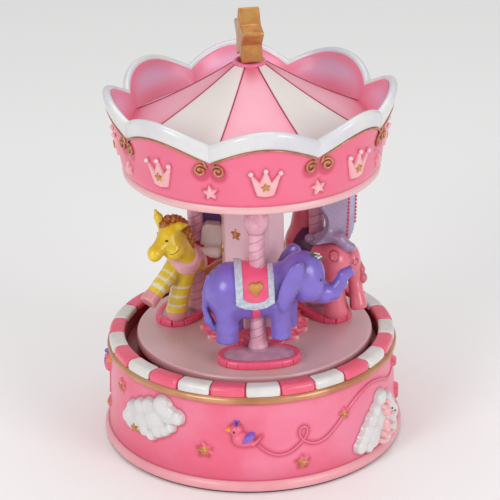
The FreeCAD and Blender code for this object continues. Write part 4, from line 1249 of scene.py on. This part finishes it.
def makePlinth(name):
    place = figures[name]
    label = place["label"]
    # stone core with a slightly rough top
    sides, low, top = 120, plinth["low"], plinth["top"]
    turns = np.linspace(0, 2 * math.pi, sides, endpoint=False)
    rows, wash = [], []
    for inset, z in ((1.6, low), (1.3, low + 0.6), (1.3, top - 0.9), (2.2, top - 0.45), (2.9, top - 0.28),
                     (5.0, top - 0.1), (8.0, top)):
        rough = 0.12 * np.sin(turns * 7 + inset) * np.sin(turns * 3 + 2 * inset) if z > top - 0.5 else 0
        rows.append(np.column_stack([ovalPoint(turns, inset), np.full(sides, z) + rough]))
        # painted shade: strongest on the top just inside the bricks, faint down the sides
        wash.append(np.full(sides, 0.75 if 2.0 < inset < 2.5 else 0.2 if inset < 3 else 0.0))
    points = np.vstack(rows + [[(0, 0, top)], [(0, 0, low)]])
    faces = loopFaces(len(rows), sides)
    last, count = (len(rows) - 1) * sides, len(rows) * sides
    faces += [(last + k, last + (k + 1) % sides, count) for k in range(sides)]
    faces += [((k + 1) % sides, k, count + 1) for k in range(sides)]
    addPiece(label + "PlinthStone", standing(points, place["azimuth"], place["plinth"]), faces, "plinthStone",
             sharp=60, wash=np.concatenate(wash + [[0.0, 0.0]]), replaces=(name + "_plinth",))

    # pillow bricks along the oval's edge
    fine = np.linspace(0, 2 * math.pi, 400, endpoint=False)
    loop = ovalPoint(fine, 1.45)
    lengths = np.linalg.norm(np.roll(loop, -1, 0) - loop, axis=1)
    brickLength = lengths.sum() / plinth["bricks"] + 0.05
    curve = bpy.data.curves.new(name + "Edge", "CURVE")
    curve.dimensions = "3D"
    spline = curve.splines.new("POLY")
    spline.points.add(len(loop) - 1)
    for point, (x, y) in zip(spline.points, loop):
        point.co = (x * mm, y * mm, (plinth["low"] + 1.55) * mm, 1)
    spline.use_cyclic_u = True
    edge = addToScene(name + "Edge", curve)

    def squared(value):
        return math.copysign(abs(value) ** 0.75, value)
    section = [(1.5 * squared(math.cos(t)), 1.68 * squared(math.sin(t)))
               for t in np.linspace(0, 2 * math.pi, 16, endpoint=False)]
    half = [(0.2, 1.01), (0.42, 1.0), (0.47, 0.98), (0.492, 0.93), (0.5, 0.84)]
    rows = [(-along, pull) for along, pull in reversed(half)] + [(0.0, 1.02)] + half
    # the curve's points carry x across, y up and z along
    points = [(a * pull, b * pull, along * brickLength) for along, pull in rows for a, b in section]
    settings = {"Curve": edge, "Count": plinth["bricks"] + 1, "Material": finishes["brickPink"]}
    pattern = (points, loopFaces(len(rows), len(section), caps=True))
    bricks = runNodes(label + "PlinthBricks", pattern, brickPath, settings, sharp=60)
    bpy.data.objects.remove(edge)
    spots = standing(meshSpots(bricks.data), place["azimuth"], place["plinth"]) * mm
    bricks.data.vertices.foreach_set("co", spots.ravel())
    bricks.data.update()


for name in figures:
    makePole(name)
    makePlinth(name)
print("poles and plinths ready")


# sculpting: rounded lumps melted together, then skinned on a fine grid

def lump(start, end, startRadius, endRadius):
    start, end = np.asarray(start, float), np.asarray(end, float)
    along = end - start

    def field(points):
        share = np.clip((points - start) @ along / (along @ along), 0, 1)
        away = np.linalg.norm(points - start - share[:, None] * along, axis=1)
        return away - (startRadius + (endRadius - startRadius) * share)
    return field


def lumps(path):
    # lumps one after another along a path of (place, radius)
    return [lump(a, b, ra, rb) for (a, ra), (b, rb) in zip(path[:-1], path[1:])]


def curlRelief(depth, across, up, rise, side):
    return lambda points: (depth * np.sin(across * points[:, 0] + up * points[:, 2])
                           * np.cos(rise * points[:, 2] - side * points[:, 1]))



def pebble(centre, radii, turn=None):
    # ellipsoid; turn is a 3 by 3 matrix whose rows are its own directions
    centre, radii = np.asarray(centre, float), np.asarray(radii, float)

    def field(points):
        local = points - centre
        if turn is not None:
            local = local @ np.asarray(turn, float).T
        near = np.linalg.norm(local / radii, axis=1) + 1e-9
        slope = np.linalg.norm(local / radii ** 2, axis=1) + 1e-9
        return near * (near - 1) / slope
    return field


def melt(soft, *fields):
    def field(points):
        total = fields[0](points)
        for other in fields[1:]:
            value = other(points)
            share = np.clip(0.5 + 0.5 * (value - total) / soft, 0, 1)
            total = value + (total - value) * share - soft * share * (1 - share)
        return total
    return field


def flatCut(field, point, normal):
    # keeps the side the normal points away from
    point, normal = np.asarray(point, float), np.asarray(normal, float)
    normal = normal / np.linalg.norm(normal)
    return lambda points: np.maximum(field(points), (points - point) @ normal)


def wrapped(field, proud, *regions):
    # a layer lying on a skin, kept only where the regions are below zero
    return lambda points: np.maximum.reduce([field(points) - proud] + [region(points) for region in regions])


def sideRegion(outline, toSide):
    # a flat outline seen from the side; toSide gives (along, up) for each point
    flat = polygonField(outline)

    def field(points):
        along, up = toSide(points)
        return flat(along, up)
    return field


def sculpt(field, low, high, step=0.5, smoothing=2):
    low, high = np.asarray(low, float), np.asarray(high, float)
    counts = np.ceil((high - low) / step).astype(int) + 1
    axes = [low[k] + step * np.arange(counts[k]) for k in range(3)]
    grid = np.stack(np.meshgrid(*axes, indexing="ij"), -1).reshape(-1, 3)
    value = np.concatenate([field(part) for part in np.array_split(grid, 8)]).reshape(counts)
    cells = counts - 1
    total, number = np.zeros(tuple(cells) + (3,)), np.zeros(tuple(cells))
    crossings = []
    for axis in range(3):
        first = np.take(value, range(counts[axis] - 1), axis)
        second = np.take(value, range(1, counts[axis]), axis)
        crossed = (first < 0) != (second < 0)
        with np.errstate(divide="ignore", invalid="ignore"):
            share = np.where(crossed, first / (first - second), 0)
        crossings.append((crossed, first < 0))
        others = [k for k in range(3) if k != axis]
        for a in (0, 1):
            for b in (0, 1):
                window = [slice(None)] * 3
                window[others[0]] = slice(a, a + cells[others[0]])
                window[others[1]] = slice(b, b + cells[others[1]])
                hit = crossed[tuple(window)]
                number += hit
                total[..., axis] += np.where(hit, share[tuple(window)], 0)
                total[..., others[0]] += a * hit
                total[..., others[1]] += b * hit
    used = number > 0
    index = -np.ones(tuple(cells), int)
    index[used] = np.arange(used.sum())
    spots = np.argwhere(used)
    points = low + step * (spots + total[used] / number[used][:, None])
    faces = []
    for axis in range(3):
        crossed, inward = crossings[axis]
        b, c = [(axis + 1) % 3, (axis + 2) % 3]
        places = np.argwhere(crossed)
        keep = (places[:, b] > 0) & (places[:, c] > 0) & (places[:, b] < cells[b]) & (places[:, c] < cells[c])
        places = places[keep]
        flip = inward[tuple(places.T)]
        ring = []
        for db, dc in ((-1, -1), (0, -1), (0, 0), (-1, 0)):
            cell = places.copy()
            cell[:, b] += db
            cell[:, c] += dc
            ring.append(index[tuple(cell.T)])
        quad = np.stack(ring, 1)
        quad[~flip] = quad[~flip][:, ::-1]
        faces.append(quad)
    faces = np.vstack(faces)
    for _ in range(smoothing):
        slope, here = gradient(field, points)
        points = points - slope * np.clip(here, -0.3, 0.3)[:, None]
    return points, faces


def gradient(field, points, reach=0.05):
    slope = np.zeros_like(points)
    for axis in range(3):
        shift = np.zeros(3)
        shift[axis] = reach
        slope[:, axis] = (field(points + shift) - field(points - shift)) / (2 * reach)
    length = np.linalg.norm(slope, axis=1)[:, None] + 1e-9
    return slope / length, field(points) / np.maximum(length[:, 0], 0.3)


def landing(field, starts, direction, steps=60):
    # where rays from the starts first touch the skin
    starts = np.atleast_2d(np.asarray(starts, float)).copy()
    direction = np.asarray(direction, float) / np.linalg.norm(direction)
    for _ in range(steps):
        starts = starts + direction * np.clip(field(starts), -0.5, 2.0)[:, None] * 0.8
    return starts


def shaded(field, points, base, depth=0.5, reach=1.6):
    # one base colour, darker down in the creases
    slope, _ = gradient(field, points)
    creaseShade = np.clip(1 - field(points + slope * reach) / reach, 0, 1)
    colours = np.tile(np.asarray(base, float), (len(points), 1))
    colours[:, :3] *= (1 - depth * creaseShade)[:, None]
    return colours


def painted(colours, mask, paint):
    mask = np.asarray(mask, float)[:, None]
    return colours * (1 - mask) + np.asarray(paint, float) * mask


def addFigure(name, shape, colours, finish="figurePaint", replaces=()):
    return addPiece(name, *shape, finish, sharp=60, colours=colours, replaces=replaces, fixNormals=False)


def figureAxes(place):
    # the way a figure faces, and where its pole stands
    ahead, out = math.radians(place["azimuth"] + 90), math.radians(place["azimuth"])
    forward = np.array([math.cos(ahead), math.sin(ahead)])
    return forward, spindle + place["pole"] * np.array([math.cos(out), math.sin(out)])


elephant = {"purple": tone(130, 108, 206), "deep": tone(92, 66, 166), "earPink": tone(226, 120, 190)}


def tilted(degreesAlong, degreesFlare):
    # directions of a flat ear: across, thickness, length
    a, b = math.radians(degreesAlong), math.radians(degreesFlare)
    length = np.array([math.sin(a), 0, math.cos(a)])
    across = np.array([math.cos(a), 0, -math.sin(a)])
    out = np.array([0, 1, 0])
    return np.array([across * math.cos(b) + out * math.sin(b), out * math.cos(b) - across * math.sin(b), length])


def makeElephant():
    place = figures["elephant"]

    def put(name, shape, finish, **settings):
        addPiece(name, standing(shape[0], place["azimuth"], place["pole"]), shape[1], finish, **settings)

    torso = melt(3.0, pebble((-4.8, 0, 70.6), (15.0, 9.4, 11.0)), pebble((-10.6, 0, 71.0), (9.3, 9.6, 11.0)),
                 pebble((6.0, 0, 69.8), (8.2, 8.4, 10.0)))
    legs = []
    for side, hindX, foreX in ((-1, -12.0, 8.6), (1, -9.6, 11.8)):
        for x, wide, sole in ((hindX, 4.05, 52.2), (foreX, 3.7, 53.2)):
            leg = melt(1.0, *lumps([((x, side * 4.9, 67), wide + 0.9), ((x, side * 5.2, 58), wide),
                                    ((x, side * 5.3, 53), wide + 0.3)]))
            legs.append(flatCut(leg, (0, 0, sole), (0, 0, -1)))
    head = melt(2.2, pebble((17.2, 0, 76.2), (8.9, 7.9, 9.8)), pebble((19.6, -3.6, 72.8), (5.6, 4.2, 5.8)),
                pebble((19.6, 3.6, 72.8), (5.6, 4.2, 5.8)))
    trunkPath = [((21.0, 0, 71.2), 4.9), ((25.6, 0, 68.6), 3.9), ((29.2, 0, 68.9), 3.1), ((31.8, 0, 72.0), 2.5),
                 ((33.2, 0, 75.7), 2.1), ((36.0, 0, 77.3), 2.05)]
    trunk = flatCut(melt(1.3, *lumps(trunkPath)), (36.9, 0, 77.7), (0.9, 0, 0.35))
    lip = melt(0.8, lump((18.6, 0, 68.6), (22.6, 0, 66.4), 4.0, 1.7), pebble((22.9, 0, 66.6), (1.3, 1.8, 1.0)))
    whole = melt(1.5, torso, head, trunk, lip, lump((8, 0, 73.5), (15, 0, 75), 8.0, 7.0))
    ears = []
    for side in (-1, 1):
        turn = tilted(20, 24)
        turn[:, 1] *= -side
        turn = np.array([row / np.linalg.norm(row) for row in turn])
        ears.append(melt(1.2, pebble((12.2, side * 9.4, 76.0), (4.2, 1.25, 9.9), turn),
                         pebble((14.4, side * 8.0, 81.2), (3.6, 1.5, 4.6), turn)))
    whole = melt(1.0, whole, *ears)
    for leg in legs:
        whole = melt(1.8, whole, leg)
    tail = [((-18.4, -1.0, 77.5), 1.0), ((-20.0, -1.6, 71.0), 1.15), ((-20.2, -2.4, 64.8), 1.1),
            ((-18.9, -3.2, 60.2), 1.7), ((-16.8, -3.8, 57.0), 1.35)]
    whole = melt(0.7, whole, *lumps(tail))
    points, faces = sculpt(whole, (-23, -14.5, 48.6), (39.6, 14.5, 88), 0.5)
    colours = shaded(whole, points, elephant["purple"], 0.5)
    low = smoothStep(56, 48, points[:, 2]) * 0.25
    colours = painted(colours, low, elephant["deep"])
    slope = gradient(whole, points)[0]
    edge = (np.minimum(ears[0](points), ears[1](points)) < 0.25) & (np.abs(slope[:, 1]) < 0.55)
    edge &= (points[:, 0] > 11.5) & (points[:, 2] < 76)
    colours = painted(colours, edge * 0.7, elephant["earPink"])
    put("elephantBody", (points, faces), "figurePaint", sharp=60, colours=colours, replaces=("elephant",),
        fixNormals=False)

    def side(points):
        return points[:, 0], points[:, 2]

    def under(points):
        return -torso(points) - 0.6
    cloth = [(-6.3, 100), (-6.1, 71.6), (-3.6, 69.9), (-0.9, 69.4), (2.2, 70.0), (4.1, 71.6), (4.1, 100)]
    outer = [(-8.9, 100), (-8.7, 69.4), (-5.2, 67.4), (-1.2, 66.5), (3.0, 67.3), (6.2, 69.3), (6.2, 100)]
    strap = [(-2.4, 50), (-2.4, 68.5), (0.7, 68.5), (0.7, 50)]
    inside = sideRegion(cloth, side)
    for name, field, finish, low, high, step in (
            ("elephantCloth", wrapped(torso, 0.75, inside, under), "clothPink", (-7.5, -12, 67), (5.5, 12, 84.5),
             0.42),
            ("elephantTrim", wrapped(torso, 1.15, sideRegion(outer, side), lambda p: 0.15 - inside(p) - 0.4, under),
             "clothTrim", (-10, -12, 65), (7.5, 12, 84.5), 0.42),
            ("elephantGirth", wrapped(torso, 0.6, sideRegion(strap, side), under), "clothPink", (-3.5, -12, 56),
             (2, 12, 70), 0.36)):
        put(name, sculpt(field, low, high, step, 1), finish, sharp=50, fixNormals=False)

    hearts, eyes = [], []
    heart = blended(0.25, discField(-2.35, 76.2, 1.45), discField(0.35, 76.2, 1.45),
                    polygonField([(-3.6, 75.6), (-1.0, 72.4), (1.6, 75.6), (-1.0, 76.9)], 0.25))
    for facing in (-1, 1):
        def onCloth(s, z, height, facing=facing):
            starts = np.stack([s, np.full(len(s), facing * 16.0), z], 1)
            ends = landing(lambda p: torso(p) - 0.75, starts, (0, -facing, 0))
            return ends + np.stack([0 * s, facing * height, 0 * s], 1)
        hearts.append(reliefShell(heart, (-5.5, 3.5, 71, 79), 0.45, 0.5, onCloth, 0.25))
        spot = landing(whole, [(24.0, facing * 14.0, 76.4)], (0, -facing, 0))[0]
        eyes.append(ball(spot, 0.55, scale=(1, 0.7, 1.2)))
    put("elephantHearts", joined(hearts), "goldPaint", sharp=60)
    put("elephantEyes", joined(eyes), "eyeBlack")
    petals = [ball((23.2 + 1.0 * math.cos(t), -0.6 + 1.0 * math.sin(t),
                    84.4 + 0.35 * math.sin(t) - 0.5 * math.cos(t)),
                   0.75, 6, 10, (1, 1, 0.6)) for t in np.radians(np.arange(5) * 72)]
    flower = joined(petals)
    put("elephantFlower", flower, "cloudWhite", wash=np.zeros(len(flower[0])))
    put("elephantLeaves", joined([ball((21.4, -1.4, 85.0), 1.5, 8, 12, (1.1, 0.55, 0.35)),
                                  ball((24.6, 0.9, 83.0), 1.4, 8, 12, (0.6, 0.9, 0.45))]), "leafGreen")


makeElephant()
print("elephant ready")


yellow = {"coat": tone(240, 212, 44), "shade": tone(212, 148, 36), "hoof": tone(232, 160, 162),
          "stripe": tone(236, 234, 206), "hair": tone(166, 88, 34)}


def makeYellow():
    forward, post = figureAxes(figures["yellow_pony"])

    def alongOf(points):
        return (points[:, :2] - post) @ forward
    barrel = melt(3.0, lump((-25.8, 5.6, 69.4), (-17.6, 19.3, 69.0), 5.9, 8.5),
                  pebble((-17.0, 20.6, 68.6), (8.4, 8.6, 9.0)))
    neck = melt(2.0, pebble((-26.8, 3.0, 70.0), (5.7, 6.0, 6.8)),
                lump((-29.4, -1.2, 81.0), (-26.8, 2.4, 73.0), 5.0, 5.6))
    head = melt(1.6, pebble((-31.2, -2.4, 84.2), (4.7, 5.2, 5.0)), pebble((-29.9, -4.6, 79.4), (4.6, 4.9, 4.7)),
                lump((-32.6, -4.8, 82.6), (-36.6, -9.2, 79.8), 4.0, 2.7),
                pebble((-37.2, -9.9, 79.2), (2.7, 3.0, 2.9)))
    ears = [melt(0.6, lump((-34.6, -1.0, 87.6), (-35.6, -0.2, 90.8), 1.5, 1.75),
                 lump((-35.6, -0.2, 90.8), (-36.7, 0.2, 93.6), 1.7, 0.5)),
            melt(0.6, lump((-30.0, -3.6, 87.0), (-27.4, -3.2, 88.0), 1.5, 1.8),
                 lump((-27.4, -3.2, 88.0), (-24.4, -2.8, 88.4), 1.7, 0.5))]
    raised = melt(1.0, *lumps([((-30.4, 0.0, 68.4), 4.0), ((-35.4, -5.2, 63.6), 3.3), ((-39.9, -9.6, 59.3), 3.5)]))
    away = np.array([-8.6, -8.5, -8.6]) / 14.84
    raised = flatCut(raised, np.array([-39.7, -9.3, 59.5]) + away * 1.6, away)
    standingLeg = melt(1.0, *lumps([((-26.4, 2.0, 66.0), 4.4), ((-28.6, 2.0, 55.0), 3.9), ((-29.8, 2.2, 49.0), 4.5)]))
    standingLeg = flatCut(standingLeg, (0, 0, 46.35), (0, 0, -1))
    hind = melt(1.0, lump((-14.4, 19.0, 66.0), (-15.6, 20.5, 56.0), 5.0, 3.5),
                lump((-15.6, 20.5, 56.0), (-13.4, 22.4, 49.0), 3.4, 3.9))
    hind = flatCut(hind, (0, 0, 46.4), (0, 0, -1))
    bent = melt(1.0, *lumps([((-20.0, 22.5, 66.0), 4.6), ((-19.4, 16.2, 60.2), 2.9), ((-19.0, 14.6, 59.2), 2.6)]))
    legs = melt(1.6, raised, standingLeg, hind, bent)
    bodyShape = melt(1.4, neck, barrel)
    whole = melt(1.2, bodyShape, head, *ears)
    whole = melt(1.6, whole, legs)
    tailPath = [((-13.0, 28.2, 72.5), 1.6), ((-11.4, 31.0, 70.5), 2.0), ((-10.6, 32.2, 64.5), 2.4),
                ((-11.2, 31.2, 58.0), 1.6)]
    points, faces = sculpt(whole, (-45.5, -14.5, 45.6), (-6, 31, 95), 0.5)
    colours = shaded(whole, points, yellow["coat"], 0.55)
    along = alongOf(points)
    colours = painted(colours, 0.75 * smoothStep(7.0, -4.0, along) * (1 - smoothStep(76, 80, points[:, 2])),
                      yellow["shade"])
    onRaised = raised(points) < 0.3
    far = (points - np.array([-30.4, 0.0, 68.4])) @ away
    onStanding = (standingLeg(points) < 0.3) & (points[:, 2] < 64)
    outerSide = gradient(whole, points)[0] @ np.array([-0.35, -0.9, 0.25]) > 0.25
    for spot, half in ((3.2, 0.45), (6.6, 0.7), (10.3, 0.8)):
        colours = painted(colours, onRaised & outerSide & (np.abs(far - spot) < half), yellow["stripe"])
    for spot, half in ((61.0, 0.4), (57.0, 0.4), (53.2, 0.45)):
        colours = painted(colours, onStanding & outerSide & (np.abs(points[:, 2] - spot) < half), yellow["stripe"])
    colours = painted(colours, onRaised & (far > 13.3), yellow["hoof"])
    colours = painted(colours, (points[:, 2] < 50.0), yellow["hoof"])
    addFigure("yellowPony", (points, faces), colours, replaces=("yellow_pony",))

    ring = np.array([0.41, -0.69, 0.59])
    ring = ring / np.linalg.norm(ring)
    middle = np.array([-31.6, -4.4, 72.6])
    collar = wrapped(bodyShape, 0.8, lambda p: np.abs((p - middle) @ ring) - 1.7, lambda p: -bodyShape(p) - 1.2)
    shape = sculpt(collar, (-37, -9, 64), (-15, 12, 84), 0.42, 1)
    addPiece("ponyCollar", *shape, "palePink", sharp=55, fixNormals=False)

    # curled mane on the brow and down the neck
    tufts = [(-34.0, -2.4, 88.4, 1.5), (-32.6, -3.4, 88.6, 1.5), (-32.0, -0.6, 89.8, 1.9), (-29.6, -0.6, 90.0, 1.9),
             (-28.0, 0.2, 89.4, 1.9),
             (-26.4, 1.0, 87.4, 2.2), (-25.4, 1.0, 85.0, 2.3), (-24.4, 1.0, 82.6, 2.3), (-23.8, 1.4, 80.2, 2.2),
             (-23.4, 2.0, 78.0, 2.0),
             (-28.0, 3.0, 85.6, 2.2), (-27.0, 3.6, 82.4, 2.3), (-25.6, 4.4, 79.4, 2.2), (-24.4, 5.2, 76.8, 1.9)]
    heap = melt(0.7, *[pebble((x, y, z), (r, r, r)) for x, y, z, r in tufts])
    curl = curlRelief(0.34, 3.1, 1.4, 2.7, 1.2)
    shape = sculpt(lambda points: heap(points) - curl(points), (-38, -7, 73), (-20, 9, 94), 0.36)
    # painted light on the curls: crests lighter as painted highlight, hollows darker as painted shade
    deep = np.clip(0.5 + curl(shape[0]) / 0.68, 0, 1)
    colours = painted(np.tile(yellow["hair"], (len(shape[0]), 1)) * 0.55, deep, tone(214, 138, 62))
    addFigure("ponyMane", shape, colours, finish="hairBrown")
    shape = sculpt(melt(0.8, *lumps(tailPath)), (-16, 25, 54), (-6, 36, 76), 0.5)
    addFigure("ponyTail", shape, np.tile(yellow["hair"], (len(shape[0]), 1)), finish="hairBrown")

    # saddle, cloth and the tall purple back
    def board(outline, middle, slope, half):
        # an upright board with a side outline, standing askew across the pony
        flat = polygonField(outline)
        pivot, lean = slope
        return lambda p: np.maximum(flat(p[:, 0], p[:, 2]),
                                    np.abs(p[:, 1] - middle - lean * (p[:, 0] + pivot)) - half) - 0.3
    seat = board([(-19.6, 73.6), (-18.6, 82.2), (-17.0, 83.4), (-12.2, 82.2), (-10.8, 80.4), (-11.8, 73.0)],
                 11.6, (15, 0.30), 2.2)
    rolls = melt(0.8, seat, lump((-20.2, 7.2, 72.9), (-13.4, 9.2, 71.3), 2.1, 2.4))
    shape = sculpt(rolls, (-24, 3, 68), (-8, 18, 85.5), 0.42)
    addFigure("ponySaddle", shape, shaded(rolls, shape[0], tone(236, 228, 216), 0.6))
    tall = board([(-18.8, 74.0), (-18.9, 90.0), (-16.5, 93.5), (-12.5, 93.5), (-9.9, 90.0), (-9.9, 74.0)],
                 15.2, (14, 0.25), 0.9)
    shape = sculpt(tall, (-20.5, 11, 72), (-8.5, 19, 95), 0.45)
    # the tall back's dark purple is its own purple with painted shade in it
    addFigure("ponyBackrest", shape, np.tile(tone(92, 62, 128), (len(shape[0]), 1)))
    spiral = [(-11.35 + 0.02 * k, 8.0 + 1.35 * (1 - k / 34) * math.cos(0.42 * k),
               71.3 + 1.35 * (1 - k / 34) * math.sin(0.42 * k)) for k in range(32)]
    addPiece("saddleCurl", *tube(spiral, 0.2, 6), "hairLine", sharp=80)

    def side(points):
        return alongOf(points), points[:, 2]
    cloth = [(-9, 90), (-9, 67.8), (-2, 67.8), (2.6, 66.8), (3.4, 72), (3.4, 90)]
    trimmed = [(-9.9, 90), (-9.9, 66.0), (-2, 66.0), (3.2, 65.0), (4.5, 71.6), (4.5, 90)]
    for name, outline, proud, finish, low, high in (
            ("ponyCloth", cloth, 0.95, "clothCrimson", (-32, 2, 64), (-6, 26, 80)),
            ("ponyClothEdge", trimmed, 0.6, "palePink", (-33, 1, 63), (-6, 27, 80))):
        layer = wrapped(barrel, proud, sideRegion(outline, side), lambda p: -barrel(p) - 0.6)
        addPiece(name, *sculpt(layer, low, high, 0.45, 1), finish, sharp=50, fixNormals=False)
    look = np.array([0.0, 0.918, -0.397])
    eye = landing(whole, [np.array([-32.3, -8.5, 84.1]) - look * 12], look)[0]
    across = np.array([0.78, -0.62, 0.0])
    other = np.array([-31.5, -3.5, 84.3]) + 0.8 * np.array([-0.62, -0.78, 0.0]) - 12 * across
    addPiece("ponyEyes", *joined([ball(eye, 0.62, scale=(1.2, 0.7, 0.6)),
                                  ball(landing(whole, [other], across)[0], 0.6)]),
             "eyeBlack")
    smile = smoothPath([(-27.5, -8.5, 81.6), (-28.0, -8.5, 79.9), (-29.6, -8.5, 78.6), (-31.2, -8.5, 78.4)], 24)
    spots = landing(whole, smile - look * 12, look)
    addPiece("ponySmile", *tube(spots, 0.16, 6), "hairLine", sharp=80)


makeYellow()
print("yellow pony ready")


rose = {"coat": tone(240, 120, 140), "deep": tone(178, 48, 74), "mane": tone(134, 18, 38),
        "lavender": tone(164, 142, 176), "pale": tone(176, 170, 204)}


def makeRose():
    forward, post = figureAxes(figures["rose_pony"])
    barrel = melt(2.5, lump((22.2, 21.0, 70.0), (31.0, 8.0, 68.8), 7.2, 7.4),
                  pebble((20.6, 20.4, 70.4), (6.4, 6.4, 7.2)))
    rump = [pebble((33.8, 4.6, 68.6), (6.5, 7.2, 7.8)), pebble((40.4, 6.6, 67.6), (3.6, 6.0, 6.8))]
    left = melt(1.2, *lumps([((33.4, 3.4, 65.0), 4.3), ((33.4, 2.0, 58.0), 3.4), ((33.9, 1.4, 49.4), 5.0)]))
    left = flatCut(left, (0, 0, 46.4), (0, 0, -1))
    right = melt(1.2, *lumps([((41.0, 5.4, 65.0), 3.0), ((41.8, 3.4, 57.5), 2.6), ((42.8, 1.6, 51.0), 3.5)]))
    right = flatCut(right, (42.7, 1.4, 49.2), (0.12, -0.2, -0.97))
    fore = melt(1.0, *lumps([((18.8, 19.6, 66.0), 4.0), ((18.4, 20.0, 55.0), 3.4), ((18.4, 20.4, 49.0), 3.9)]))
    fore = flatCut(fore, (0, 0, 46.6), (0, 0, -1))
    lifted = melt(1.0, lump((25.6, 24.2, 67.0), (24.2, 28.0, 60.0), 4.0, 3.3),
                  lump((24.2, 28.0, 60.0), (22.6, 31.0, 54.0), 3.2, 3.4))
    knee = melt(1.0, lump((18.8, 21.0, 72.0), (18.4, 22.2, 75.4), 2.4, 2.0),
                pebble((18.7, 22.2, 75.9), (2.0, 2.0, 2.1)))
    neck = lump((21.6, 21.8, 74.0), (22.6, 24.0, 88.0), 5.8, 4.0)
    head = melt(1.4, pebble((21.6, 25.6, 90.4), (4.5, 5.2, 4.8)),
                lump((20.6, 27.4, 89.6), (16.6, 34.0, 85.2), 3.9, 2.6),
                pebble((16.2, 34.6, 84.9), (2.8, 2.9, 2.8)))
    ears = [lump((19.6, 23.6, 93.6), (18.6, 22.6, 97.6), 1.4, 0.5),
            lump((24.0, 25.8, 93.6), (25.0, 25.6, 97.6), 1.4, 0.5)]
    trunk = melt(1.6, barrel, neck, head, *ears)
    back = melt(0.5, melt(1.0, rump[0], left), melt(1.0, rump[1], right))
    whole = melt(1.8, trunk, back, fore, lifted)
    whole = melt(0.6, whole, knee)
    points, faces = sculpt(whole, (11.5, -6.5, 45.6), (48.5, 38.5, 99), 0.5)
    colours = shaded(whole, points, rose["coat"], 0.6)
    along = (points[:, :2] - post) @ forward
    cloth = smoothStep(-5.2, -4.8, along) * (1 - smoothStep(5.4, 5.8, along)) * smoothStep(66.0, 66.4, points[:, 2])
    cloth = cloth * (1 - smoothStep(78.0, 78.4, points[:, 2]))
    # dark purple blanket: its own purple with painted shade in it
    colours = painted(colours, cloth, tone(88, 40, 96))
    for x, z, r in ((33.1, 73.1, 1.85), (41.6, 69.5, 1.1)):
        circle = np.abs(np.hypot(points[:, 0] - x, points[:, 2] - z) - r) < 0.26
        colours = painted(colours, 0.7 * (circle & (points[:, 1] < 6)), rose["deep"] * np.ones(4) * 0.4)
    addFigure("rosePony", (points, faces), colours, replaces=("rose_pony",))

    heap = melt(0.8, *[pebble(spot, (r, r, r)) for spot, r in (
        ((24.6, 20.6, 74.4), 1.9), ((24.8, 20.6, 77.4), 2.0), ((24.8, 20.8, 80.4), 2.1), ((24.8, 21.4, 83.4), 2.1),
        ((24.6, 22.0, 86.6), 2.2), ((24.0, 22.8, 89.6), 2.2), ((22.6, 23.4, 92.8), 2.2), ((21.4, 25.6, 94.6), 1.8))])

    curl = curlRelief(0.3, 2.8, 1.5, 2.6, 1.1)
    shape = sculpt(lambda points: heap(points) - curl(points), (18, 17, 71), (29, 29, 98), 0.4)
    addFigure("roseMane", shape, np.tile(rose["mane"], (len(shape[0]), 1)), finish="hairBrown")
    knob = melt(0.9, lump((41.8, 8.0, 68.5), (44.2, 5.0, 64.6), 1.6, 1.5), pebble((44.4, 4.4, 61.2), (2.1, 2.1, 2.4)))
    shape = sculpt(knob, (38, 0, 57), (48, 12, 72), 0.4)
    addFigure("roseTail", shape, shaded(knob, shape[0], rose["coat"] * np.ones(4) * 0.8, 0.5))

    # sleigh saddle with a tall back, seen from behind
    wide, deep = np.array([0.883, 0.469]), np.array([0.469, -0.883])
    centre = np.array([33.0, 5.6])

    def panelPlace(points):
        off = points[:, :2] - centre
        return off @ wide, points[:, 2], off @ deep
    outline = polygonField([(-7.6, 77.2), (-4.8, 79.0), (-2.9, 81.6), (-2.3, 84.8), (-2.9, 88.0), (-5.0, 91.4),
                            (-5.8, 95.0), (-5.4, 99.0),
                            (-2, 101.5), (4, 102.2), (9.4, 100.0), (10.5, 93.0), (10.3, 85.0), (9.0, 79.6),
                            (6.6, 76.6), (0.4, 77.6)])

    def panel(points):
        w, z, d = panelPlace(points)
        bend = 0.035 * np.clip(w - 3.0, 0, None) ** 2 + 0.02 * np.clip(-w, 0, None) ** 2
        lace = 0.10 * np.sin(2.6 * w) * np.sin(2.6 * z)
        return np.maximum(outline(w, z), np.abs(d + bend) - 1.1 + lace) - 0.4
    seat = [((23.8, 8.0, 77.0), 2.0), ((25.4, 7.6, 76.4), 1.9), ((28.2, 6.2, 78.2), 2.2), ((31.2, 4.8, 79.6), 2.4),
            ((35.4, 3.6, 78.4), 2.4), ((37.8, 3.0, 75.8), 2.3), ((39.9, 3.0, 74.9), 2.0)]
    rear = [((25.6, 12.6, 76.4), 1.9), ((29.0, 11.0, 77.4), 2.4), ((36.4, 9.4, 77.2), 2.4)]
    rolls = melt(1.2, melt(0.8, *lumps(seat)), *lumps(rear))
    saddle = melt(1.2, panel, rolls)
    shape = sculpt(saddle, (19, -1.5, 71.5), (46.5, 20, 104), 0.42)
    colours = shaded(saddle, shape[0], rose["lavender"], 0.5)
    w, z, d = panelPlace(shape[0])
    colours = painted(colours, smoothStep(6.4, 7.2, w) * (z > 78), rose["pale"])
    addFigure("roseSaddle", shape, colours)
    beads = []
    for low, high, count in (((5.3, 77.6), (7.0, 101.0), 17), ((9.9, 80.0), (10.9, 99.6), 14)):
        for share in np.linspace(0, 1, count):
            w = low[0] + (high[0] - low[0]) * share ** 0.6
            z = low[1] + (high[1] - low[1]) * share
            spot = centre + wide * w + deep * 6.0
            spot = landing(saddle, [(spot[0], spot[1], z)], (-deep[0], -deep[1], 0))
            if abs(saddle(spot)[0]) < 0.2:
                beads.append(ball(spot[0], 0.62, 6, 8))
    addPiece("roseBeads", *joined(beads), "beadRed", sharp=80)


makeRose()
print("rose pony ready")
